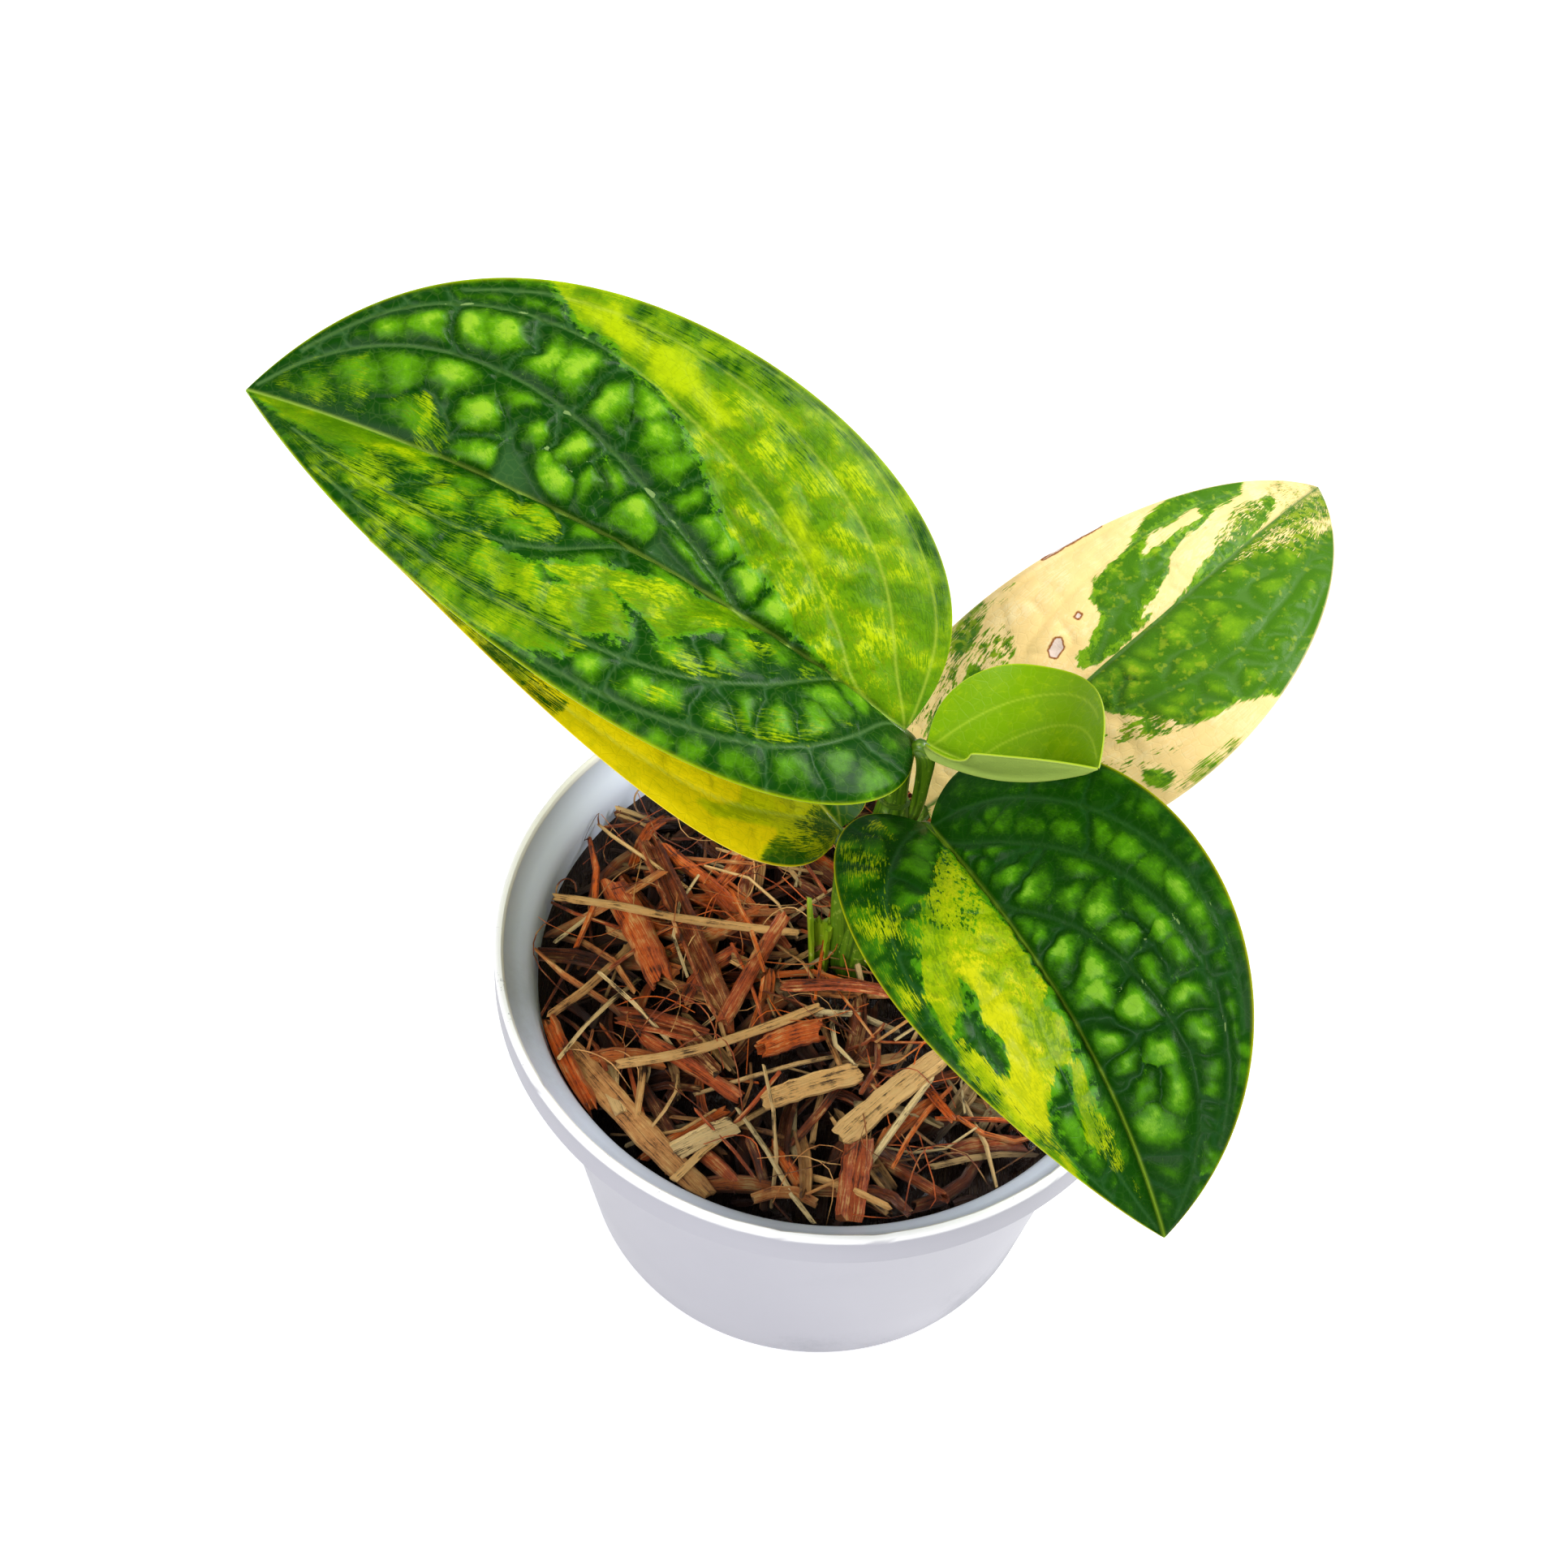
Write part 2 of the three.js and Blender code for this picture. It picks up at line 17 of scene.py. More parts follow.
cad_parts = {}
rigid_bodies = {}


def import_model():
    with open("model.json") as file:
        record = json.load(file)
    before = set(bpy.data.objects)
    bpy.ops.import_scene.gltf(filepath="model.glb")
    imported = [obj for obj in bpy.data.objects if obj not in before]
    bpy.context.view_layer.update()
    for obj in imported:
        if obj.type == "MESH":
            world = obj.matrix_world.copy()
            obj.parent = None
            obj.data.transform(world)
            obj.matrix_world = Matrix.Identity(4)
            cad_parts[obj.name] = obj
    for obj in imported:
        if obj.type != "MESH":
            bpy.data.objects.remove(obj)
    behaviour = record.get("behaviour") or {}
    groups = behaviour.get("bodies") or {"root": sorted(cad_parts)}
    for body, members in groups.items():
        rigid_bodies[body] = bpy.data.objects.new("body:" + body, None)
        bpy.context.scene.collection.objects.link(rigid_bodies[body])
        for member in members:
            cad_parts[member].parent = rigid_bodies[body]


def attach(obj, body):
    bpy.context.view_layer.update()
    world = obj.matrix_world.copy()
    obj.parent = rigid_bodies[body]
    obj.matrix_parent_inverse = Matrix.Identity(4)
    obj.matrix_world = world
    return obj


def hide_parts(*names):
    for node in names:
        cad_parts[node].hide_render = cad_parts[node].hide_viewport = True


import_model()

LOG = logging.getLogger("plant")
MM = 0.001
WELD = 2e-6
BODY = "root"
GRAIN_SCALE = 0.01
FAR = 99.0
Point = tuple[float, float]
Spot = tuple[float, float, float]
Row = tuple[float, float, float, float]
Colour = tuple[float, float, float]


def srgb(red: float, green: float, blue: float) -> Colour:
    """Turns a colour of 0 to 255 on a screen into the linear light that the shaders use."""
    return tuple(((v / 255 + 0.055) / 1.055) ** 2.4 if v > 10 else v / 3294.6 for v in (red, green, blue))


def unit(vector: np.ndarray) -> np.ndarray:
    """Scales vectors to length 1."""
    return vector / np.maximum(np.linalg.norm(vector, axis=-1, keepdims=True), 1e-9)


def rise(value: np.ndarray, low: float, high: float) -> np.ndarray:
    """Goes smoothly from 0 at low to 1 at high."""
    part = np.clip((value - low) / (high - low), 0, 1)
    return part * part * (3 - 2 * part)


def bell(value: np.ndarray, width: float | np.ndarray) -> np.ndarray:
    """Falls smoothly from 1 at 0, to a third at this width."""
    return np.exp(-((value / width) ** 2))


def turns(count: int) -> np.ndarray:
    """Gives the angles of points evenly round a circle."""
    return np.arange(count) * 2 * math.pi / count


def flow(points: np.ndarray, steps: int) -> np.ndarray:
    """Draws a smooth curve through points.

    Args:
        points: the rows that the curve passes through.
        steps: the number of pieces between two rows.

    Returns:
        The rows of the curve.
    """
    rows = np.asarray(points, float)
    ends = np.vstack([2 * rows[0] - rows[1], rows, 2 * rows[-1] - rows[-2]])
    part = np.linspace(0, 1, steps, endpoint=False)[:, None]
    curve = []
    for a, b, c, d in zip(ends[:-3], ends[1:-2], ends[2:-1], ends[3:]):
        cubic = (3 * b - a - 3 * c + d) * part**3 + (2 * a - 5 * b + 4 * c - d) * part**2
        curve.append(0.5 * (cubic + (c - a) * part + 2 * b))
    return np.vstack(curve + [rows[-1:]])


def run(line: np.ndarray) -> np.ndarray:
    """Measures how far along a line of points each of them is."""
    return np.concatenate([[0.0], np.linalg.norm(np.diff(line, axis=0), axis=1).cumsum()])


def distance(points: np.ndarray, line: np.ndarray) -> np.ndarray:
    """Measures how far points are from a line of short pieces.

    Args:
        points: one point a row.
        line: the rows of the line.

    Returns:
        The distance of each point.
    """
    best = np.full(len(points), np.inf)
    for start, end in zip(line[:-1], line[1:]):
        along = end - start
        part = np.clip(((points - start) @ along) / max(along @ along, 1e-12), 0, 1)
        best = np.minimum(best, ((points - start - part[:, None] * along) ** 2).sum(1))
    return np.sqrt(best)


def inside(points: np.ndarray, outline: np.ndarray) -> np.ndarray:
    """Measures how deep points lie inside a closed outline.

    Args:
        points: one point a row.
        outline: the corners of the outline, in order.

    Returns:
        The distance to the outline, negative outside.
    """
    ring = np.vstack([outline, outline[:1]])
    within = np.zeros(len(points), bool)
    for (ax, ay), (bx, by) in zip(ring[:-1], ring[1:]):
        crosses = (ay > points[:, 1]) != (by > points[:, 1])
        slope = (bx - ax) / (by - ay if by != ay else 1e-9)
        within ^= crosses & (points[:, 0] < ax + (points[:, 1] - ay) * slope)
    return np.where(within, 1, -1) * distance(points, ring)


def ripple(points: np.ndarray, wave: float, seed: int) -> np.ndarray:
    """Gives smooth seeded waves between about -1 and 1.

    Args:
        points: one point a row, with any number of columns.
        wave: the middle wavelength.
        seed: the seed of their directions and phases.

    Returns:
        The height at each point.
    """
    draw = np.random.default_rng(seed)
    total = np.zeros(len(points))
    for _ in range(7):
        way = unit(draw.normal(size=points.shape[1])) * (2 * math.pi / wave)
        total += np.sin(points @ way * draw.uniform(0.6, 1.6) + draw.uniform(0, 7))
    return total / 3


def lathe(rows: list[Point], sides: int) -> np.ndarray:
    """Turns a profile of (radius, height) rows into rings of points."""
    x, y = np.cos(turns(sides)), np.sin(turns(sides))
    return np.vstack([np.stack([r * x, r * y, np.full(sides, z)], 1) for r, z in np.array(rows, float)])


def band(first: int, second: int, sides: int) -> list[list[int]]:
    """Lists the quads between two closed rings, from the number of each ring's first point."""
    pairs = ((k, (k + 1) % sides) for k in range(sides))
    return [[first + k, first + n, second + n, second + k] for k, n in pairs]


def sweep_faces(rings: int, sides: int) -> list[list[int]]:
    """Lists the quads between closed rings of points, one after the other."""
    return [quad for i in range(rings - 1) for quad in band(i * sides, (i + 1) * sides, sides)]


def closed_faces(rings: int, sides: int) -> list[list[int]]:
    """Lists the faces of closed rings that end in two more points, the first ring's and the last ring's.

    Args:
        rings: the number of rings.
        sides: the number of points in a ring.

    Returns:
        The faces, each a list of point numbers.
    """
    faces, top, tip = sweep_faces(rings, sides), (rings - 1) * sides, rings * sides
    for k in range(sides):
        following = (k + 1) % sides
        faces += [[tip, following, k], [tip + 1, top + k, top + following]]
    return faces


class Link:
    """One output socket, on which arithmetic adds Math nodes."""

    def __init__(self, tree: "Tree", socket: bpy.types.NodeSocket) -> None:
        """Keeps the socket and the tree that it stands in."""
        self.tree = tree
        self.socket = socket

    def math(self, operation: str, *values: "Link | float") -> "Link":
        """Adds a Math node with these inputs."""
        return self.tree.node("ShaderNodeMath", {"operation": operation}, dict(enumerate(values)))

    def __add__(self, other: "Link | float") -> "Link":
        """Adds."""
        return self.math("ADD", self, other)

    def __sub__(self, other: "Link | float") -> "Link":
        """Subtracts."""
        return self.math("SUBTRACT", self, other)

    def __rsub__(self, other: "Link | float") -> "Link":
        """Subtracts from a number."""
        return self.math("SUBTRACT", other, self)

    def __mul__(self, other: "Link | float") -> "Link":
        """Multiplies."""
        return self.math("MULTIPLY", self, other)

    def __truediv__(self, other: "Link | float") -> "Link":
        """Divides."""
        return self.math("DIVIDE", self, other)

    def __pow__(self, other: "Link | float") -> "Link":
        """Raises to a power."""
        return self.math("POWER", self, other)

    __radd__ = __add__
    __rmul__ = __mul__

    def most(self, other: "Link | float") -> "Link":
        """Takes the larger of two values."""
        return self.math("MAXIMUM", self, other)

    def keep(self, low: float, high: float) -> "Link":
        """Keeps the value between low and high."""
        return self.math("MINIMUM", self, high).most(low)

    def rise(self, low: float, high: float) -> "Link":
        """Goes smoothly from 0 at low to 1 at high."""
        smooth = {"interpolation_type": "SMOOTHSTEP"}
        return self.tree.node("ShaderNodeMapRange", smooth, {0: self, 1: low, 2: high})


class Tree:
    """A node tree in which every node comes from one method."""

    def __init__(self, tree: bpy.types.NodeTree) -> None:
        """Takes the tree to build in."""
        self.tree = tree

    def node(self, kind: str, settings: dict, sockets: dict, output: int | str | None = 0) -> Link | None:
        """Adds one node.

        Args:
            kind: the node's type.
            settings: its properties, and "stops" for a colour ramp, set first.
            sockets: a value or a Link for each input, by name or number.
            output: the output to hand back, or None for a node that has none.

        Returns:
            The chosen output.
        """
        made = self.tree.nodes.new(kind)
        for name, value in settings.items():
            if name == "stops":
                self.colour_stops(made.color_ramp, value)
            else:
                setattr(made, name, value)
        for key, value in sockets.items():
            if isinstance(value, Link):
                self.tree.links.new(value.socket, made.inputs[key])
            else:
                made.inputs[key].default_value = value
        return None if output is None else Link(self, made.outputs[output])

    def colour_stops(self, ramp: bpy.types.ColorRamp, stops: tuple[tuple[float, Colour], ...]) -> None:
        """Gives a colour ramp its stops.

        Args:
            ramp: the ramp, which starts with two stops.
            stops: the place from 0 to 1 and the colour of each stop.
        """
        while len(ramp.elements) < len(stops):
            ramp.elements.new(1.0)
        for element, (position, colour) in zip(ramp.elements, stops):
            element.position = position
            element.color = (*colour, 1.0)


class Paint(Tree):
    """The node tree of one material."""

    def __init__(self, name: str) -> None:
        """Makes an empty material.

        Args:
            name: the material's name.
        """
        self.material = bpy.data.materials.new(name)
        self.material.use_nodes = True
        super().__init__(self.material.node_tree)
        self.tree.nodes.clear()
        self.place = self.node("ShaderNodeTexCoord", {}, {}, "Object")

    def attribute(self, name: str) -> Link:
        """Reads a number that the mesh carries."""
        return self.node("ShaderNodeAttribute", {"attribute_name": name}, {}, "Fac")

    def grain(self, across: float, along: float) -> Link:
        """Reads the mesh's grain coordinates, with these waves to 100 mm across and along it."""
        where = self.node("ShaderNodeUVMap", {"uv_map": "grain"}, {})
        return self.node("ShaderNodeMapping", {}, {"Vector": where, "Scale": (across, along, 1)})

    def noise(self, where: Link, scale: float = 1, detail: float = 3, rough: float = 0.5) -> Link:
        """Adds cloudy noise about 0, with scale waves to the coordinates' unit."""
        sockets = {"Vector": where, "Scale": scale, "Detail": detail, "Roughness": rough}
        return self.node("ShaderNodeTexNoise", {}, sockets) - 0.5

    def mix(self, share: Link | float, first: Link | Colour, second: Link | Colour) -> Link:
        """Blends two colours by the share of the second."""
        layers = [c if isinstance(c, Link) else (*c, 1.0) for c in (first, second)]
        return self.node("ShaderNodeMix", {"data_type": "RGBA"}, {0: share, 6: layers[0], 7: layers[1]}, 2)

    def bump(self, height: Link, distance: float, strength: float = 1.0) -> Link:
        """Turns a height into a bumped normal, with its distance in millimetres."""
        sockets = {"Height": height, "Distance": distance * MM, "Strength": strength}
        return self.node("ShaderNodeBump", {}, sockets)

    def close(self, sockets: dict) -> bpy.types.Material:
        """Ends the tree in one Principled shader.

        Args:
            sockets: a value or a Link for each of its inputs.

        Returns:
            The finished material.
        """
        shader = self.node("ShaderNodeBsdfPrincipled", {}, sockets)
        self.node("ShaderNodeOutputMaterial", {}, {"Surface": shader}, None)
        return self.material


@dataclass
class Shell:
    """A mesh in the making: points in millimetres, faces, grain coordinates and carried numbers."""

    points: np.ndarray
    faces: list
    grain: np.ndarray
    carried: dict[str, np.ndarray]

    def build(self, name: str, material: bpy.types.Material, crease: float = 180) -> bpy.types.Object:
        """Makes the object.

        Args:
            name: the piece's name.
            material: its finish.
            crease: the angle in degrees past which an edge stays sharp.

        Returns:
            The object, at the origin.
        """
        mesh = bpy.data.meshes.new(name)
        mesh.from_pydata((self.points * MM).tolist(), [], self.faces)
        layer = mesh.uv_layers.new(name="grain")
        corners = np.zeros(len(mesh.loops), np.int32)
        mesh.loops.foreach_get("vertex_index", corners)
        layer.data.foreach_set("uv", (self.grain[corners] * GRAIN_SCALE).astype(np.float32).ravel())
        for key, values in self.carried.items():
            mesh.attributes.new(key, "FLOAT", "POINT").data.foreach_set("value", values.astype(np.float32))
        tidy = bmesh.new()
        tidy.from_mesh(mesh)
        bmesh.ops.remove_doubles(tidy, verts=tidy.verts, dist=WELD)
        bmesh.ops.recalc_face_normals(tidy, faces=tidy.faces)
        tidy.to_mesh(mesh)
        tidy.free()
        mesh.shade_smooth()
        if crease < 180:
            mesh.set_sharp_from_angle(angle=math.radians(crease))
        mesh.materials.append(material)
        piece = bpy.data.objects.new(name, mesh)
        bpy.context.scene.collection.objects.link(piece)
        return piece


def join(shells: list[Shell]) -> Shell:
    """Puts several shells into one.

    Args:
        shells: the shells, which all carry the same numbers.

    Returns:
        The one shell.
    """
    faces, start = [], 0
    for shell in shells:
        faces += [[v + start for v in face] for face in shell.faces]
        start += len(shell.points)
    carried = {k: np.concatenate([s.carried[k] for s in shells]) for k in shells[0].carried}
    return Shell(np.vstack([s.points for s in shells]), faces, np.vstack([s.grain for s in shells]), carried)


def place(piece: bpy.types.Object, node: str) -> None:
    """Hands a finished piece to the frame.

    Args:
        piece: the finished object.
        node: the CAD node that it stands for.
    """
    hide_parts(node)
    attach(piece, BODY)
    triangles = sum(len(p.vertices) - 2 for p in piece.data.polygons)
    LOG.info("%s stands for %s with %d triangles", piece.name, node, triangles)


class Patch(Enum):
    """What the tissue inside an outline does."""

    PALE = "pale"
    GREEN = "green"
    FLECKED = "flecked"
    SMOOTH = "smooth"
    SCAR = "scar"
    GOLD = "gold"


def trace(*hundredths: float) -> tuple[Point, ...]:
    """Pairs hundredths up into points: along from base to tip, then across from midrib to margin."""
    return tuple((along / 100, across / 100) for along, across in zip(hundredths[::2], hundredths[1::2]))


def patch(kind: Patch, *hundredths: float) -> tuple[Patch, tuple[Point, ...]]:
    """Gives a kind of tissue its outline, in hundredths."""
    return kind, trace(*hundredths)


@dataclass(frozen=True)
class Half:
    """One half of a blade. Points are (along from base to tip, across from midrib to margin)."""

    width: float
    fold: float
    camber: float
    lobe: float
    gather: float
    veins: tuple[tuple[Point, ...], ...]
    swell: tuple[float, ...]
    domes: tuple[Point, ...] = ()
    patches: tuple[tuple[Patch, tuple[Point, ...]], ...] = ()
    ground: float = -14.0
    calm_base: float = 0.0
    pitch: float = 1.0


@dataclass(frozen=True)
class LeafFinish:
    """The skin of one blade."""

    name: str
    # crease is the colour of a painted grey-green sheen; deep, bright and middle also paint the shade and
    # highlights on the domes.
    crease: Colour
    deep: Colour
    bright: Colour
    middle: Colour
    pale: Colour
    glow: Colour
    shade: Colour
    vein: Colour
    under: Colour
    spine: Colour
    mottle: float = 0.7
    net: float = 0.1
    rim: float = 0.7
    freckle: float = 0.0
    line: float = 1.0
    soft: float = 1.0
    thin: float = 0.7
    spread: float = 1.0
    streaks: Point = (80, 17)
    rib: Colour = (0.58, 0.7, 0.1)
    SCAR_EDGE = srgb(150, 92, 44)
    SCAR_SKIN = srgb(232, 210, 196)

    def material(self) -> bpy.types.Material:
        """Paints green tissue with painted highlights on the tops of the domes and painted shade on their
        flanks, a painted grey-green sheen in the creases, jagged pale patches, flecks, veins and a paler
        underside.

        Returns:
            The material.
        """
        paint = Paint(self.name)
        tissue, fleck, dome = paint.attribute("tissue"), paint.attribute("fleck"), paint.attribute("dome")
        jag = paint.noise(paint.grain(36, 17), detail=6, rough=0.62)
        streak = paint.noise(paint.grain(*self.streaks), detail=6, rough=0.6)
        speck = paint.noise(paint.grain(210, 75), detail=5, rough=0.7)
        cloud = paint.noise(paint.place, 110, 4, 0.55)
        mottle = paint.noise(paint.place, 460, 6, 0.65)
        spot = paint.noise(paint.place, 560, 3, 0.5)
        fine = mottle * 0.5 + speck * 0.4
        edge = tissue.keep(-3.0, 3.0) + jag * 4 + streak * 1.5 + cloud * 2.5
        loose = streak * 30 + speck * 9 + cloud * 20 + mottle * 8 + tissue.keep(-2.0, self.thin) + 0.5
        blend = (edge * (1 - fleck) + loose * fleck) / (fleck * (2.3 * self.soft - 0.3) + 0.3)
        pale = blend.rise(-1.0, 1.0)
        halo = (edge + mottle * 9 + speck * 5 + 1.0).rise(-0.6, 0.6) * (1 - fleck)

        # Painted light: the tops of the domes are painted brighter and paler as highlights, their flanks
        # darker as shade.
        green = paint.mix((dome + fine * 1.2 + cloud * 0.7).rise(0.12, 0.9), self.deep, self.bright)
        green = paint.mix((dome + fine * 1.8 + cloud * 1.1).rise(0.7, 1.1) * 0.75, green, self.middle)
        green = paint.mix(halo * 0.8, green, self.bright)
        # Painted reflection: a grey-green sheen is painted into the creases and the calm patches.
        green = paint.mix(paint.attribute("crease") * 0.48, green, self.crease)
        spots = (spot + cloud * 0.5).rise(0.06, 0.2) * self.freckle
        marbling = fleck * (spot + 0.06).rise(0.0, 0.12) * self.freckle
        green = paint.mix((spots * 0.7).most(marbling), green, self.middle)

        gold = paint.attribute("gold") + cloud * (9 * self.soft) + fine * (5 * self.soft)
        gold = gold.rise(-2.0 * self.soft, 2.5 * self.soft)
        # The domes' light term adds a little painted highlight to the pale zones' glow and keeps the dark
        # blotches off the lit tops.
        lit = (cloud * 0.9 + streak * 1.5 + dome * 0.1 + fine * 1.8 + 0.08).rise(0.04, 0.42)
        lit = lit * (1 - fleck * 0.45) * self.spread
        light = paint.mix(lit.most(gold * 0.85), self.pale, self.glow)
        blotch = (mottle * 0.9 + streak * 1.2 - cloud - dome * 0.22 + 0.1).rise(0.0, 0.2)
        light = paint.mix(blotch * (1 - gold * 0.6) * self.mottle, light, self.shade)
        light = paint.mix((speck * 1.2 - mottle).rise(0.05, 0.3) * self.mottle * 0.6, light, self.shade)

        colour = paint.mix(pale, green, light)
        lines = paint.attribute("vein") * (pale * 0.25 + 0.3) * self.line
        colour = paint.mix(lines, colour, paint.mix(pale, self.vein, self.rib))
        colour = paint.mix(paint.attribute("midrib") * 0.85, colour, self.spine)
        walls = {"feature": "DISTANCE_TO_EDGE"}
        cells = paint.node("ShaderNodeTexVoronoi", walls, {"Vector": paint.place, "Scale": 430})
        net = 1 - cells.rise(0.0, 0.09)
        colour = paint.mix(net * self.net, colour, paint.mix(pale, self.vein, self.shade))
        colour = paint.mix(paint.attribute("rim") * self.rim, colour, self.glow)
        scar = paint.attribute("scar") + mottle * 1.2
        colour = paint.mix(scar.rise(-0.75, -0.35), colour, self.SCAR_EDGE)
        colour = paint.mix(scar.rise(-0.25, 0.05), colour, self.SCAR_SKIN)
        under = paint.attribute("under")
        return paint.close({
            "Base Color": paint.mix(under * 0.75, colour, self.under),
            "Roughness": 0.36 + under * 0.2 + fine * 0.14 + pale * 0.08,
            "Normal": paint.bump(net * -0.35 + mottle * 0.6 + speck * 0.3, 0.12, 0.6),
            "Coat Weight": 0.03,
            "Coat Roughness": 0.2,
            "Specular IOR Level": 0.06,
        })


@dataclass(frozen=True)
class StalkFinish:
    """Green stalk skin with pale speckles along its grain."""

    name: str
    green: Colour
    dark: Colour
    pale: Colour
    line: float = 110.0

    def material(self) -> bpy.types.Material:
        """Paints fine lengthwise lines and speckles.

        Returns:
            The material.
        """
        paint = Paint(self.name)
        lines = paint.noise(paint.grain(self.line, 6), detail=4, rough=0.6)
        speck = paint.noise(paint.place, 900, 3, 0.6)
        colour = paint.mix((lines + 0.05).rise(-0.12, 0.15), self.dark, self.green)
        return paint.close({
            "Base Color": paint.mix((speck + lines * 0.4).rise(0.1, 0.2) * 0.5, colour, self.pale),
            "Roughness": 0.38 + speck * 0.2,
            "Normal": paint.bump(lines + speck * 0.5, 0.15, 0.6),
            "Coat Weight": 0.15,
        })


@dataclass(frozen=True)
class HuskFinish:
    """Chopped husk: each chip takes a tint between dark bark, red stalk and straw."""

    name: str
    stops: tuple[tuple[float, Colour], ...]
    STAIN = (0.02, 0.006, 0.002)
    # The colour of the painted shade low between the chips.
    GAP_SHADE = (0.012, 0.004, 0.002)
    # A pale fibre colour, also laid on as a painted highlight.
    FIBRE = srgb(255, 206, 130)

    def material(self) -> bpy.types.Material:
        """Paints the chip's tint with lengthwise fibres that also carry painted highlights, dark stains, and
        painted shade that darkens the chips the lower they lie.

        Returns:
            The material.
        """
        paint = Paint(self.name)
        tint = paint.attribute("tint")
        fibre = paint.noise(paint.grain(170, 9), detail=6, rough=0.72)
        thread = paint.noise(paint.grain(520, 16), detail=3, rough=0.6)
        stain = paint.noise(paint.place, 190, 5, 0.65)
        crumb = paint.noise(paint.place, 1100, 3, 0.7)
        shifted = tint + fibre * 0.3 + stain * 0.22
        colour = paint.node("ShaderNodeValToRGB", {"stops": self.stops}, {0: shifted})
        dark = (fibre * -1.2 - stain * 1.1 - thread * 0.7).rise(0.04, 0.26)
        colour = paint.mix(dark * 0.94, colour, self.STAIN)
        # Pale fibres, laid on strongly enough to stand as painted highlights on the chips.
        colour = paint.mix((fibre + stain + thread * 0.8).rise(0.03, 0.24) * 0.75, colour, self.FIBRE)
        # Painted shade: the lower a point lies, the nearer to near black it is painted, as the shade between
        # the chips.
        height = paint.node("ShaderNodeSeparateXYZ", {}, {0: paint.place}, 2)
        return paint.close({
            "Base Color": paint.mix(height.rise(0.0886, 0.0822) * 0.97, colour, self.GAP_SHADE),
            "Roughness": 0.27 + tint * 0.4 + fibre * 0.4,
            "Normal": paint.bump(fibre * 2.2 + thread + crumb * 0.5, 0.6, 1.0),
            "Specular IOR Level": 0.45,
        })


@dataclass(frozen=True)
class PanFinish:
    """Satin white plastic with faint smudges and scuffs, a painted bluish shade tint inside and a painted
    highlight on the rim top.
    """

    name: str
    white: Colour
    smudge: Colour
    # Painted light: the inside's pale blue tint, the cast of the shade in the pan.
    INNER_SHADE_TINT = srgb(222, 232, 255)
    # Painted highlight: pure white for the rim top.
    LIP_HIGHLIGHT = (1.0, 1.0, 1.0)

    def material(self) -> bpy.types.Material:
        """Paints clean plastic that is a little dirty low down and inside, with a painted bluish shade tint
        inside and a painted white highlight on the nicked rim top.

        Returns:
            The material.
        """
        paint = Paint(self.name)
        cloud = paint.noise(paint.place, 28, 4, 0.55)
        speck = paint.noise(paint.place, 620, 3, 0.7)
        dirt = paint.attribute("dirt")
        worn = (cloud + dirt * 0.3 + speck * 0.25).rise(0.12, 0.42) * (0.12 + dirt * 0.5)
        # Painted light: the inside is tinted a lighter, bluer colour than the outside, the look of the shade
        # in the pan.
        colour = paint.mix(paint.attribute("inner") * 0.85, self.white, self.INNER_SHADE_TINT)
        colour = paint.mix(worn, colour, self.smudge)
        # Painted highlight: the rim top is painted pure white, with grey nicks.
        lip = paint.mix((speck + cloud * 0.5).rise(0.2, 0.26) * 0.5, self.LIP_HIGHLIGHT, self.smudge)
        return paint.close({
            "Base Color": paint.mix(paint.attribute("lip"), colour, lip),
            "Roughness": 0.36 + worn * 0.4 + cloud * 0.1,
            "Normal": paint.bump(paint.noise(paint.place, 260, 3), 0.05, 0.35),
        })


